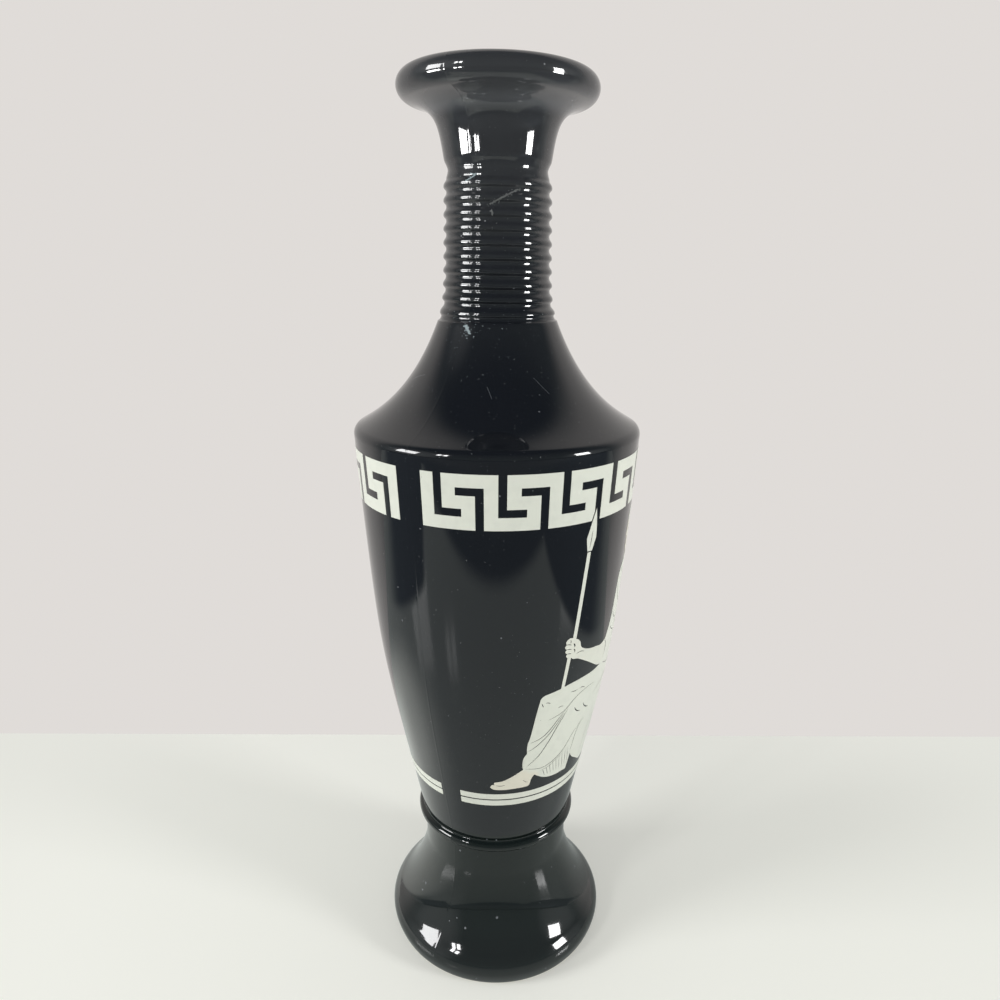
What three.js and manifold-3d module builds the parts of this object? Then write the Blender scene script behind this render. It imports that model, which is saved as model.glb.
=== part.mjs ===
// A ceramic decanter in the shape of a tall Greek oil jar, in millimetres with +Z up.
// It stands on its foot ring at the origin and its axis is the Z axis.
// Foot, body and neck are cast apart and luted together at flat seats with spigots.
// A cork with a turned head closes the bore inside the flared mouth.
// The prints are two equal transfers, one on each half of the body, between two seams.

import * as THREE from 'three';
import Module from 'manifold-3d';
import { mergeVertices } from 'three/addons/utils/BufferGeometryUtils.js';

// Sizes of the foot
const FOOT_HEIGHT = 59.4;
const FOOT_WALL = 5;
const FOOT_RIM_RADIUS = 43.9;
const FOOT_RIM_ROUND = 7.8;
const FOOT_ROLL_UNDER_DEG = 48.5;
const FOOT_RING_WIDTH = 4.4;
const BELL_START_DEG = 43.5;
const BELL_LOWER_PULL = 9.4;
const BELL_UPPER_PULL = 7.1;
const THROAT_RADIUS = 28.9;
const THROAT_HEIGHT = 39.4;
const THROAT_PULL = 7.1;
const BEAD_RADIUS = 31.7;
const BEAD_ROUND = 3.1;
const BEAD_UNDERCUT_DEG = 62;
const BEAD_PULL = 3.5;

// Sizes of the body
const BODY_WALL = 5.2;
const BODY_FLOOR = 6;
const BODY_EDGE_RADIUS = 30.9;
const BODY_EDGE_ROUND = 0.6;
const BELLY_HEIGHT = 150.8;
const BELLY_RADIUS = 50.8;
const BELLY_LOWER_LEAN = 0.2;
const BELLY_LOWER_PULL = 69.6;
const BELLY_UPPER_LEAN = 0.065;
const BELLY_UPPER_PULL = 92.3;
const CORNER_ROUND = 3.5;
const SHOULDER_SLOPE_DEG = 31;
const SHOULDER_HEIGHT = 38;
const SHOULDER_LOWER_PULL = 6.6;
const SHOULDER_UPPER_PULL = 26.4;
const SHOULDER_TOP_SLOPE_DEG = 69;
const SHOULDER_TOP_RADIUS = 20.7;

// Sizes of the joints between the castings
const BODY_SPIGOT_RADIUS = 20;
const BODY_SPIGOT_DEPTH = 3;
const NECK_SPIGOT_RADIUS = 15.6;
const NECK_SPIGOT_DEPTH = 8;
const FIT_GAP = 0.3;

// Sizes of the neck
const BORE_RADIUS = 12;
const RIB_COUNT = 10;
const RIB_PITCH = 4.4;
const RIB_DEPTH = 1.1;
const RIB_TOP_RADIUS = 17.7;
const RIB_TAPER = 0.65;
const RIB_SPREAD = 2.6;
const RIB_SPREAD_HEIGHT = 3.8;
const NECK_BASE_LEDGE = 0.8;
const WAIST_RADIUS = 16.35;
const WAIST_STEP = 1;
const TRUMPET_HEIGHT = 22.5;
const TRUMPET_START_DEG = 73;
const TRUMPET_LOWER_PULL = 16.1;
const TRUMPET_UPPER_PULL = 14.7;
const LIP_ROUND = 4.25;
const LIP_RADIUS = 32.45;
const LIP_UNDER_DEG = 66;
const LIP_INNER_DEG = 150;
const FUNNEL_DEPTH = 25.5;
const FUNNEL_MOUTH_PULL = 10.3;
const FUNNEL_BORE_PULL = 13.8;

// Sizes of the stopper
const CORK_LENGTH = 26;
const CORK_BOTTOM_RADIUS = 11;
const CORK_ABOVE_BORE = 9;
const HEAD_FLANGE_RADIUS = 13.5;
const HEAD_FLANGE_THICKNESS = 2.2;
const HEAD_STEM_RADIUS = 7.5;
const HEAD_STEM_STEP = 1;
const HEAD_KNOB_RADIUS = 10.5;
const HEAD_KNOB_ROUND = 4.2;
const HEAD_KNOB_UNDER_DEG = 60;
const HEAD_HEIGHT = 15;
const HEAD_PEG_RADIUS = 3;
const HEAD_PEG_LENGTH = 12;

// Sizes of the prints, with angles seen from above and 0 towards the front
const PRINT_GAP = 0.2;
const PRINT_THICKNESS = 0.4;
const PANEL_COUNT = 2;
const SEAM_DEG = -33.4;
const SEAM_GAP_DEG = 11;
const KEY_UNITS = 7;
const KEY_TOP_BELOW_CORNER = 4.1;
const KEY_LINE = 4.3;
const KEY_SLOT = 2.6;
const KEY_LINE_DEG = 5;
const KEY_SLOT_DEG = 3.13;
const STRIPE_TOP_ABOVE_SEAT = 22;
const STRIPE_HEIGHT = 2.55;
const STRIPE_GAP = 0.6;
const STRIPE_SEAM_DEG = -28.5;
const STRIPE_SEAM_GAP_DEG = 13.5;

// The printed figure sits between the stripes and the key band. Each corner of its outline is
// an angle from the start of the panel and a height above the stripes, as it was drawn. The
// drawing is then scaled, so that the tip of the spear ends just below the key band.
const FIGURE_CENTRE_DEG = 77;
const FIGURE_GAP = 0.7;
const FIGURE_OUTLINE = [
	// forward foot, shin and knee
	[25.4, 3.9], [26.4, 5.9], [31.9, 7.1], [37.9, 9.3], [42.7, 11.4], [42.5, 15.7], [43.5, 18.6],
	[44.3, 24], [46.1, 31.9], [48.2, 42.4], [49.9, 43.7], [55.9, 44.7],
	// lap, then the underside of the forearm
	[67.9, 46.1], [79.9, 46.3], [85.4, 46.1], [86.4, 47.7], [77.9, 51.1], [69.9, 55.1],
	[65.4, 57.3],
	// fist and top of the forearm
	[63.4, 57.7], [61.4, 58.1], [59.5, 59.5], [58.8, 62], [59.2, 64.1], [60.5, 65.3],
	[63.1, 65.1], [65.4, 63.7], [67.4, 61.1], [77.9, 58], [86.4, 55.4],
	// upper arm, chest and neck
	[90.9, 62], [94.9, 68.9], [95.9, 73.3], [94.7, 76.7], [95.4, 80.7], [98.9, 84.1], [102.4, 85.6],
	// head in profile, from the chin over the crown to the nape
	[101.6, 87.7], [100.4, 89.6], [100.6, 92], [98.9, 94.2], [100.5, 97.4], [101.3, 100.9],
	[104.9, 104.2], [109.9, 104.8], [114.4, 102.3], [116.5, 97.4], [114.4, 91.5], [113.1, 87.6],
	// back, and the block that the figure sits on
	[115.9, 84.9], [120.9, 82.6], [124.9, 77.2], [126.4, 66.4], [125.4, 56.5], [125.9, 46.7],
	[128.4, 36.8], [131, 29], [131, 2.4], [92, 2.4],
	// hem of the robe, then the heel and sole
	[89.9, 2.6], [81.9, 6.8], [75.5, 10.8], [74.2, 3.8], [65.9, 4.2], [57.9, 5.1], [50.5, 7.5],
	[48.5, 5.3], [48.2, 4.1], [46.4, 2.5], [35.9, 2.3], [25.9, 2.6],
];
const SPEAR_OUTLINE = [
	[58.9, 44.4], [60.6, 44.6], [67.1, 95.6], [69.3, 100.5], [67.9, 105.9], [64.6, 100.5],
	[65.4, 95.6],
];

// Fineness of the round faces
const TURNED_STEPS = 32;
const STOPPER_STEPS = 24;
const CURVE_STEPS = 6;
const SHORT_CURVE_STEPS = 2;
const BELLY_STEPS = 12;
const SHOULDER_STEPS = 8;
const TRUMPET_STEPS = 8;
const INSIDE_STEPS = 5;
const ROUND_STEPS = 6;
const CORNER_STEPS = 4;
const LIP_STEPS = 8;
const HEAD_ROUND_STEPS = 4;
const RIB_STEPS = 4;
const STRIPE_STEPS = 20;
const SAME_POINT = 1e-4;

// Where the parts of the decanter start
const SEAT_HEIGHT = FOOT_HEIGHT;
const CORNER_HEIGHT = SEAT_HEIGHT + BELLY_HEIGHT;
const SHOULDER_TOP = CORNER_HEIGHT + SHOULDER_HEIGHT;
const RIBS_BASE = SHOULDER_TOP + NECK_BASE_LEDGE;
const RIBS_TOP = RIBS_BASE + RIB_COUNT * RIB_PITCH;
const WAIST_HEIGHT = RIBS_TOP + WAIST_STEP;
const LIP_CENTRE_HEIGHT = WAIST_HEIGHT + TRUMPET_HEIGHT + LIP_ROUND;
const LIP_CENTRE_RADIUS = LIP_RADIUS - LIP_ROUND;
const LIP_TOP = LIP_CENTRE_HEIGHT + LIP_ROUND;
const BORE_TOP = LIP_TOP - FUNNEL_DEPTH;
const CORK_TOP = BORE_TOP + CORK_ABOVE_BORE;
const CORK_BOTTOM = CORK_TOP - CORK_LENGTH;
const PANEL_TURN_DEG = 360 / PANEL_COUNT;
const PANEL_ARC_DEG = PANEL_TURN_DEG - SEAM_GAP_DEG;
const KEY_HEIGHTS = [KEY_LINE, KEY_SLOT, KEY_LINE, KEY_SLOT, KEY_LINE];
const KEY_HEIGHT = KEY_HEIGHTS.reduce((sum, height) => sum + height, 0);
const KEY_BASE = CORNER_HEIGHT - KEY_TOP_BELOW_CORNER - KEY_HEIGHT;
const STRIPE_TOP = SEAT_HEIGHT + STRIPE_TOP_ABOVE_SEAT;
const DRAWN_TOP = Math.max(...SPEAR_OUTLINE.map(([, rise]) => rise));

const wasm = await Module();
wasm.setup();

function radians(degrees) {
	return THREE.MathUtils.degToRad(degrees);
}

function point(radius, height) {
	return new THREE.Vector2(radius, height);
}

// Points on a round edge, from one angle to another, where 0 points outwards and 90 up.
function arc(centreRadius, centreHeight, round, startDeg, endDeg, steps) {
	return Array.from({ length: steps + 1 }, (_, i) => {
		const angle = radians(startDeg + ((endDeg - startDeg) * i) / steps);
		return point(centreRadius + round * Math.cos(angle), centreHeight + round * Math.sin(angle));
	});
}

// Points on a smooth curve that leaves start along one arm and meets end along another.
function sweep(start, startArm, endArm, end, steps = CURVE_STEPS) {
	const afterStart = start.clone().add(startArm);
	const beforeEnd = end.clone().sub(endArm);
	return new THREE.CubicBezierCurve(start, afterStart, beforeEnd, end).getPoints(steps);
}

function arm(angleDeg, length) {
	return point(Math.cos(radians(angleDeg)) * length, Math.sin(radians(angleDeg)) * length);
}

// The same line moved sideways, to its left as it is walked along.
function inset(line, distance) {
	return line.map((here, i) => {
		const before = line[Math.max(i - 1, 0)];
		const after = line[Math.min(i + 1, line.length - 1)];
		const along = after.clone().sub(before).normalize();
		return point(here.x - along.y * distance, here.y + along.x * distance);
	});
}

// An outline turned round the Z axis. It starts and ends on the axis, or on the same point.
function turned(outline, steps = TURNED_STEPS) {
	return new THREE.LatheGeometry(outline, steps).rotateX(Math.PI / 2);
}

function closed(outline) {
	return [...outline, outline[0].clone()];
}

function solid(geometry) {
	const bare = geometry.clone();
	bare.deleteAttribute('normal');
	bare.deleteAttribute('uv');
	const merged = mergeVertices(bare, SAME_POINT);
	const vertProperties = new Float32Array(merged.attributes.position.array);
	const triVerts = new Uint32Array(merged.index.array);
	return new wasm.Manifold(new wasm.Mesh({ numProp: 3, vertProperties, triVerts }));
}

function geometryOf(manifold) {
	const mesh = manifold.getMesh();
	const geometry = new THREE.BufferGeometry();
	geometry.setAttribute('position', new THREE.BufferAttribute(mesh.vertProperties, 3));
	geometry.setIndex(new THREE.BufferAttribute(mesh.triVerts, 1));
	geometry.computeVertexNormals();
	return geometry;
}

function blackGlaze() {
	return new THREE.MeshStandardMaterial({ color: 0x0b0c10, roughness: 0.08, metalness: 0 });
}

function whiteEnamel() {
	return new THREE.MeshStandardMaterial({ color: 0xe6e6da, roughness: 0.35, metalness: 0 });
}

function naturalCork() {
	return new THREE.MeshStandardMaterial({ color: 0xb98a5c, roughness: 0.9, metalness: 0 });
}

function piece(name, geometry, material) {
	const mesh = new THREE.Mesh(geometry, material);
	mesh.name = name;
	return mesh;
}

// The foot: a bell on a rounded rim, a throat, and a bead that carries the body.
function footOutside() {
	const rimCentreRadius = FOOT_RIM_RADIUS - FOOT_RIM_ROUND;
	const rimCentreHeight = FOOT_RIM_ROUND * Math.sin(radians(FOOT_ROLL_UNDER_DEG));
	const under = -FOOT_ROLL_UNDER_DEG;
	const rim = arc(rimCentreRadius, rimCentreHeight, FOOT_RIM_ROUND, under, BELL_START_DEG, ROUND_STEPS);
	const throat = point(THROAT_RADIUS, THROAT_HEIGHT);
	const bellStart = arm(BELL_START_DEG + 90, BELL_LOWER_PULL);
	const bell = sweep(rim[rim.length - 1], bellStart, arm(90, BELL_UPPER_PULL), throat);
	const beadRadius = BEAD_RADIUS - BEAD_ROUND;
	const beadHeight = FOOT_HEIGHT - BEAD_ROUND;
	const bead = arc(beadRadius, beadHeight, BEAD_ROUND, -BEAD_UNDERCUT_DEG, 90, ROUND_STEPS);
	const rise = sweep(throat, arm(90, THROAT_PULL), arm(90, BEAD_PULL), bead[0], SHORT_CURVE_STEPS);
	return [...rim, ...bell.slice(1), ...rise.slice(1), ...bead.slice(1)];
}

function footGeometry() {
	const outside = footOutside();
	const socket = BODY_SPIGOT_RADIUS + FIT_GAP;
	const flangeUnderside = FOOT_HEIGHT - FOOT_WALL;
	const flange = [
		point(socket, FOOT_HEIGHT),
		point(socket, flangeUnderside),
		point(THROAT_RADIUS - FOOT_WALL, flangeUnderside),
	];
	const throatInside = point(THROAT_RADIUS - FOOT_WALL, THROAT_HEIGHT);
	const ringInside = point(outside[0].x - FOOT_RING_WIDTH, 0);
	const down = arm(-90, THROAT_HEIGHT / 2);
	const hollow = sweep(throatInside, down, arm(-90, FOOT_RIM_ROUND), ringInside, INSIDE_STEPS);
	return turned(closed([...outside, ...flange, ...hollow]));
}

// The outer line of the body, from the seat on the bead up to the foot of the neck.
function bellyLine(steps = BELLY_STEPS) {
	const start = point(BODY_EDGE_RADIUS, SEAT_HEIGHT + BODY_EDGE_ROUND);
	const end = point(BELLY_RADIUS, CORNER_HEIGHT);
	const lower = point(BELLY_LOWER_LEAN, 1).multiplyScalar(BELLY_LOWER_PULL);
	const upper = point(BELLY_UPPER_LEAN, 1).multiplyScalar(BELLY_UPPER_PULL);
	return sweep(start, lower, upper, end, steps);
}

function cornerLine() {
	const centreRadius = BELLY_RADIUS - CORNER_ROUND;
	return arc(centreRadius, CORNER_HEIGHT, CORNER_ROUND, 0, 90 - SHOULDER_SLOPE_DEG, CORNER_STEPS);
}

function shoulderLine(steps = SHOULDER_STEPS) {
	const corner = cornerLine();
	const start = corner[corner.length - 1];
	const end = point(SHOULDER_TOP_RADIUS, SHOULDER_TOP);
	const lower = arm(180 - SHOULDER_SLOPE_DEG, SHOULDER_LOWER_PULL);
	const upper = arm(180 - SHOULDER_TOP_SLOPE_DEG, SHOULDER_UPPER_PULL);
	return sweep(start, lower, upper, end, steps);
}

function bodyOutside() {
	return [...bellyLine(), ...cornerLine().slice(1), ...shoulderLine().slice(1)];
}

// The inside of the body, walked down from the opening for the neck to the middle of the floor.
function bodyInside() {
	const opening = NECK_SPIGOT_RADIUS + FIT_GAP;
	const floorHeight = SEAT_HEIGHT + BODY_FLOOR;
	const shoulder = inset(shoulderLine(INSIDE_STEPS), BODY_WALL).filter((p) => p.x > opening + FIT_GAP);
	const belly = inset(bellyLine(INSIDE_STEPS), BODY_WALL).filter((p) => p.y > floorHeight + BODY_WALL);
	const wall = [...belly, ...shoulder].reverse();
	const mouth = [point(opening, SHOULDER_TOP), point(opening, wall[0].y)];
	const heel = point(wall[wall.length - 1].x - BODY_WALL / 2, floorHeight);
	return [...mouth, ...wall, heel, point(0, floorHeight)];
}

function bodyGeometry() {
	const spigotBase = SEAT_HEIGHT - BODY_SPIGOT_DEPTH;
	const underside = [
		point(0, spigotBase),
		point(BODY_SPIGOT_RADIUS, spigotBase),
		point(BODY_SPIGOT_RADIUS, SEAT_HEIGHT),
		point(BODY_EDGE_RADIUS - BODY_EDGE_ROUND, SEAT_HEIGHT),
	];
	return turned([...underside, ...bodyOutside(), ...bodyInside()]);
}

// The radius of the body's outside at a height, read off the same line that the body is turned from.
function wallRadius(height) {
	const line = bodyOutside();
	const above = Math.max(1, line.findIndex((p) => p.y >= height));
	const low = line[above - 1];
	const high = line[above];
	return THREE.MathUtils.mapLinear(height, low.y, high.y, low.x, high.x);
}

// The crest line of the ribs: nearly straight, spreading where it meets the shoulder.
function ribCrest(height) {
	const climb = height - RIBS_BASE;
	const taper = RIB_TAPER * (1 - climb / (RIB_COUNT * RIB_PITCH));
	return RIB_TOP_RADIUS + taper + RIB_SPREAD * Math.exp(-climb / RIB_SPREAD_HEIGHT);
}

// Each rib is half a sine wave on the crest line, so that crests are round and grooves sharp.
function ribbedLine() {
	const steps = RIB_COUNT * RIB_STEPS;
	return Array.from({ length: steps + 1 }, (_, i) => {
		const height = RIBS_BASE + (i * RIB_PITCH) / RIB_STEPS;
		const swell = Math.sin((Math.PI * (i % RIB_STEPS)) / RIB_STEPS);
		return point(ribCrest(height) - RIB_DEPTH * (1 - swell), height);
	});
}

function neckOutside() {
	const ribs = ribbedLine();
	const under = -LIP_UNDER_DEG;
	const lip = arc(LIP_CENTRE_RADIUS, LIP_CENTRE_HEIGHT, LIP_ROUND, under, LIP_INNER_DEG, LIP_STEPS);
	const waist = point(WAIST_RADIUS, WAIST_HEIGHT);
	const lower = arm(TRUMPET_START_DEG, TRUMPET_LOWER_PULL);
	const upper = arm(90 - LIP_UNDER_DEG, TRUMPET_UPPER_PULL);
	const trumpet = sweep(waist, lower, upper, lip[0], TRUMPET_STEPS);
	return [point(ribs[0].x, SHOULDER_TOP), ...ribs, ...trumpet, ...lip.slice(1)];
}

function neckGeometry() {
	const outside = neckOutside();
	const spigotBase = SHOULDER_TOP - NECK_SPIGOT_DEPTH;
	const lipInside = outside[outside.length - 1];
	const inwards = arm(LIP_INNER_DEG + 90, FUNNEL_MOUTH_PULL);
	const funnel = sweep(lipInside, inwards, arm(-90, FUNNEL_BORE_PULL), point(BORE_RADIUS, BORE_TOP));
	const spigot = [
		point(BORE_RADIUS, spigotBase),
		point(NECK_SPIGOT_RADIUS, spigotBase),
		point(NECK_SPIGOT_RADIUS, SHOULDER_TOP),
	];
	return turned(closed([...spigot, ...outside, ...funnel.slice(1)]));
}

// The cork: it tapers so that it fills the bore at the bore's top edge.
function corkRadius(height) {
	const atBoreTop = BORE_RADIUS - FIT_GAP;
	return THREE.MathUtils.mapLinear(height, CORK_BOTTOM, BORE_TOP, CORK_BOTTOM_RADIUS, atBoreTop);
}

function corkGeometry() {
	const pegHole = HEAD_PEG_RADIUS + FIT_GAP;
	const pegHoleBottom = CORK_TOP - HEAD_PEG_LENGTH - FIT_GAP;
	const outline = [
		point(0, CORK_BOTTOM),
		point(corkRadius(CORK_BOTTOM), CORK_BOTTOM),
		point(corkRadius(CORK_TOP), CORK_TOP),
		point(pegHole, CORK_TOP),
		point(pegHole, pegHoleBottom),
		point(0, pegHoleBottom),
	];
	return turned(outline, STOPPER_STEPS);
}

// The head: a peg in the cork, a flange on top of it, a stem and a round knob to pull.
function headGeometry() {
	const top = CORK_TOP + HEAD_HEIGHT;
	const knobRadius = HEAD_KNOB_RADIUS - HEAD_KNOB_ROUND;
	const knobHeight = top - HEAD_KNOB_ROUND;
	const flangeRound = HEAD_FLANGE_THICKNESS / 2;
	const flangeRadius = HEAD_FLANGE_RADIUS - flangeRound;
	const outline = [
		point(0, CORK_TOP - HEAD_PEG_LENGTH),
		point(HEAD_PEG_RADIUS, CORK_TOP - HEAD_PEG_LENGTH),
		point(HEAD_PEG_RADIUS, CORK_TOP),
		...arc(flangeRadius, CORK_TOP + flangeRound, flangeRound, -90, 90, HEAD_ROUND_STEPS),
		point(HEAD_STEM_RADIUS, CORK_TOP + HEAD_FLANGE_THICKNESS + HEAD_STEM_STEP),
		...arc(knobRadius, knobHeight, HEAD_KNOB_ROUND, -HEAD_KNOB_UNDER_DEG, 90, HEAD_ROUND_STEPS),
		point(0, top),
	];
	return turned(outline, STOPPER_STEPS);
}

// A spot on the wall, pushed out by a lift. Angles run round from the front towards +X.
function wallSpot(angleDeg, height, lift) {
	const radius = wallRadius(height) + lift;
	const angle = radians(angleDeg);
	return [radius * Math.sin(angle), -radius * Math.cos(angle), height];
}

// A thin print on the wall, made of cells of a grid. Columns are angles and rows are heights.
// A cell is there where inked says so, and an edge gets a side face where the ink ends.
function wallPrint(columns, rows, inked) {
	const across = columns.length;
	const lifts = [PRINT_GAP, PRINT_GAP + PRINT_THICKNESS];
	const positions = [];
	for (const lift of lifts) {
		for (const height of rows) {
			for (const angle of columns) {
				positions.push(...wallSpot(angle, height, lift));
			}
		}
	}
	const layer = across * rows.length;
	const index = [];
	const corner = (i, j, outer) => (outer ? layer : 0) + j * across + i;
	const face = (a, b, c, d) => index.push(a, b, c, a, c, d);
	const hasInk = (i, j) => i >= 0 && j >= 0 && i < across - 1 && j < rows.length - 1 && inked(i, j);
	const side = (i, j, k, l) => {
		face(corner(i, j, false), corner(k, l, false), corner(k, l, true), corner(i, j, true));
	};
	for (let j = 0; j < rows.length - 1; j++) {
		for (let i = 0; i < across - 1; i++) {
			if (!hasInk(i, j)) continue;
			const outer = [corner(i, j, true), corner(i + 1, j, true)];
			face(outer[0], outer[1], corner(i + 1, j + 1, true), corner(i, j + 1, true));
			const inner = [corner(i, j, false), corner(i, j + 1, false)];
			face(inner[0], inner[1], corner(i + 1, j + 1, false), corner(i + 1, j, false));
			if (!hasInk(i, j - 1)) side(i, j, i + 1, j);
			if (!hasInk(i + 1, j)) side(i + 1, j, i + 1, j + 1);
			if (!hasInk(i, j + 1)) side(i + 1, j + 1, i, j + 1);
			if (!hasInk(i - 1, j)) side(i, j + 1, i, j);
		}
	}
	const geometry = new THREE.BufferGeometry();
	geometry.setAttribute('position', new THREE.Float32BufferAttribute(positions, 3));
	geometry.setIndex(index);
	return mergeVertices(geometry.toNonIndexed(), SAME_POINT);
}

// The angle where a panel's prints start.
function panelStart(panel) {
	return SEAM_DEG + SEAM_GAP_DEG / 2 + panel * PANEL_TURN_DEG;
}

// One turn of the key, seen as six columns by five rows and read from the bottom row up.
const KEY_ROWS = [
	'#####.',
	'#...#.',
	'#.###.',
	'#.#...',
	'#.####',
];

// The Greek key: equal turns, closed at the end of the panel by one more upright.
function keyGeometry(panel) {
	const pitch = (PANEL_ARC_DEG - KEY_LINE_DEG) / KEY_UNITS;
	const hook = pitch - 3 * KEY_LINE_DEG - 2 * KEY_SLOT_DEG;
	const widths = [KEY_LINE_DEG, KEY_SLOT_DEG, KEY_LINE_DEG, hook, KEY_LINE_DEG, KEY_SLOT_DEG];
	const columns = [panelStart(panel)];
	for (let unit = 0; unit < KEY_UNITS; unit++) {
		for (const width of widths) {
			columns.push(columns[columns.length - 1] + width);
		}
	}
	columns.push(columns[columns.length - 1] + KEY_LINE_DEG);
	const rows = [KEY_BASE];
	for (const height of KEY_HEIGHTS) {
		rows.push(rows[rows.length - 1] + height);
	}
	const lastUpright = KEY_UNITS * widths.length;
	return wallPrint(columns, rows, (i, j) => i === lastUpright || KEY_ROWS[j][i % widths.length] === '#');
}

function stripeGeometry(panel, top) {
	const start = STRIPE_SEAM_DEG + STRIPE_SEAM_GAP_DEG / 2 + panel * PANEL_TURN_DEG;
	const step = (PANEL_TURN_DEG - STRIPE_SEAM_GAP_DEG) / STRIPE_STEPS;
	const columns = Array.from({ length: STRIPE_STEPS + 1 }, (_, i) => start + i * step);
	return wallPrint(columns, [top - STRIPE_HEIGHT, top], () => true);
}

// The layer of ink round the belly that the figure is cut from.
function inkLayer() {
	const belly = bellyLine();
	const outside = inset(belly, -PRINT_GAP - PRINT_THICKNESS);
	const inside = inset(belly, -PRINT_GAP).reverse();
	return solid(turned(closed([...outside, ...inside])));
}

// A flat outline stood up in front of the wall, drawn so that it keeps its shape when it is wrapped.
function standingOutline(corners, turnDeg) {
	const field = KEY_BASE - FIGURE_GAP - STRIPE_TOP;
	const flat = corners.map(([angleDeg, rise]) => {
		const height = STRIPE_TOP + (rise * field) / DRAWN_TOP;
		return point(wallRadius(height) * Math.sin(radians(angleDeg - FIGURE_CENTRE_DEG)), height);
	});
	const depth = 2 * BELLY_RADIUS;
	const slab = new THREE.ExtrudeGeometry(new THREE.Shape(flat), { depth, bevelEnabled: false });
	return solid(slab.rotateX(Math.PI / 2).rotateZ(radians(turnDeg)));
}

// The seated figure with its spear, as one print.
function figureGeometry(panel) {
	const turnDeg = panelStart(panel) + FIGURE_CENTRE_DEG;
	const drawing = standingOutline(FIGURE_OUTLINE, turnDeg).add(standingOutline(SPEAR_OUTLINE, turnDeg));
	return geometryOf(inkLayer().intersect(drawing));
}

const decanter = new THREE.Group();
decanter.add(piece('foot', footGeometry(), blackGlaze()));
decanter.add(piece('body', bodyGeometry(), blackGlaze()));
decanter.add(piece('neck', neckGeometry(), blackGlaze()));
decanter.add(piece('stopper_cork', corkGeometry(), naturalCork()));
decanter.add(piece('stopper_head', headGeometry(), blackGlaze()));

const panelNames = ['front', 'back'];
const lowerTop = STRIPE_TOP - STRIPE_HEIGHT - STRIPE_GAP;
for (let panel = 0; panel < PANEL_COUNT; panel++) {
	const side = panelNames[panel];
	decanter.add(piece(`key_band_${side}`, keyGeometry(panel), whiteEnamel()));
	decanter.add(piece(`upper_stripe_${side}`, stripeGeometry(panel, STRIPE_TOP), whiteEnamel()));
	decanter.add(piece(`lower_stripe_${side}`, stripeGeometry(panel, lowerTop), whiteEnamel()));
	decanter.add(piece(`figure_${side}`, figureGeometry(panel), whiteEnamel()));
}

export default decanter;
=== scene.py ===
# %% [markdown]
# # A ceramic decanter in the shape of a Greek oil jar
# The decanter is three slip-cast pieces under one black glaze: a bell foot, a tall body and a
# ribbed neck with a flared mouth. A cork with a turned head closes it, and two equal white
# prints go round the body. The CAD model is loaded first, as the frame that every new
# surface has to fit.

# %% Load the frame
import math

import bpy
import numpy as np
from mathutils import Euler, Matrix, Vector
from mathutils.geometry import delaunay_2d_cdt


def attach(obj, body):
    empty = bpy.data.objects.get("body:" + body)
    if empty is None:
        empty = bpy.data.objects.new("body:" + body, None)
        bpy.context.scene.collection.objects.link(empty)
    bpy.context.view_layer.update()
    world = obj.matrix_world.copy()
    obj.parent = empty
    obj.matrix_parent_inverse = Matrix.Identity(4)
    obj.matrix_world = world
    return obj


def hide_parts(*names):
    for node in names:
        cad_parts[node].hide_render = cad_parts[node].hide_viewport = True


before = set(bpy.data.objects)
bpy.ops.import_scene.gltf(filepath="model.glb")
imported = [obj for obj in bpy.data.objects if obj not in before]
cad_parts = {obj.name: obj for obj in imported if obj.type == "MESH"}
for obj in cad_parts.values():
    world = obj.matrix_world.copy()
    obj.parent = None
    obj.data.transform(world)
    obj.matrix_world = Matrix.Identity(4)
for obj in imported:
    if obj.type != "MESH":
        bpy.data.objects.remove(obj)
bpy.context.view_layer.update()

MM = 0.001
print("CAD nodes:", sorted(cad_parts))

# %% [markdown]
# ## Lines that a thrower would draw
# Every casting is a line turned round the upright axis, so the shape of the decanter is a
# few lines of points (radius, height) in millimetres. A line is put together from round
# edges, which are arcs, and from bows, which are cubic curves that leave one point and reach
# the next along given directions. Bows are easier to steer than a long list of points, and
# they stay smooth, which a glossy black glaze needs: it shows every kink as a bent reflection.

# %% Arcs and bows
def arm(angle_deg, length):
    """A step of a length along an angle: (length cos angle, length sin angle)."""
    angle = math.radians(angle_deg)
    return np.array([math.cos(angle), math.sin(angle)]) * length


def bow(start, start_arm, end_arm, end, steps):
    """Four points mixed by (1-t)^3, 3(1-t)^2 t, 3(1-t) t^2 and t^3, where the middle two
    are the start plus its arm and the end minus its arm."""
    t = np.linspace(0, 1, steps + 1)[:, None]
    first, last = np.asarray(start, float), np.asarray(end, float)
    second, third = first + start_arm, last - end_arm
    return (1 - t) ** 3 * first + 3 * (1 - t) ** 2 * t * second + 3 * (1 - t) * t**2 * third + t**3 * last


def edge(centre, rounding, start_deg, end_deg, steps):
    """The centre plus the rounding times (cos angle, sin angle), for evenly spaced angles."""
    angle = np.radians(np.linspace(start_deg, end_deg, steps + 1))
    return np.asarray(centre, float) + rounding * np.stack([np.cos(angle), np.sin(angle)], 1)


def chain(*lines):
    """The lines one after another, without the points that lie on the point before."""
    points = np.concatenate([np.atleast_2d(np.asarray(line, float)) for line in lines])
    apart = np.linalg.norm(np.diff(points, axis=0), axis=1) > 1e-3
    return points[np.concatenate([[True], apart])]


def moved_in(line, distance):
    """Each point moved at right angles to the line, to its left as it is walked along."""
    along = np.gradient(line, axis=0)
    along /= np.linalg.norm(along, axis=1)[:, None]
    return line + distance * np.stack([-along[:, 1], along[:, 0]], 1)


print("a quarter circle:", edge((0, 0), 1, 0, 90, 2).round(2).tolist())

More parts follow.
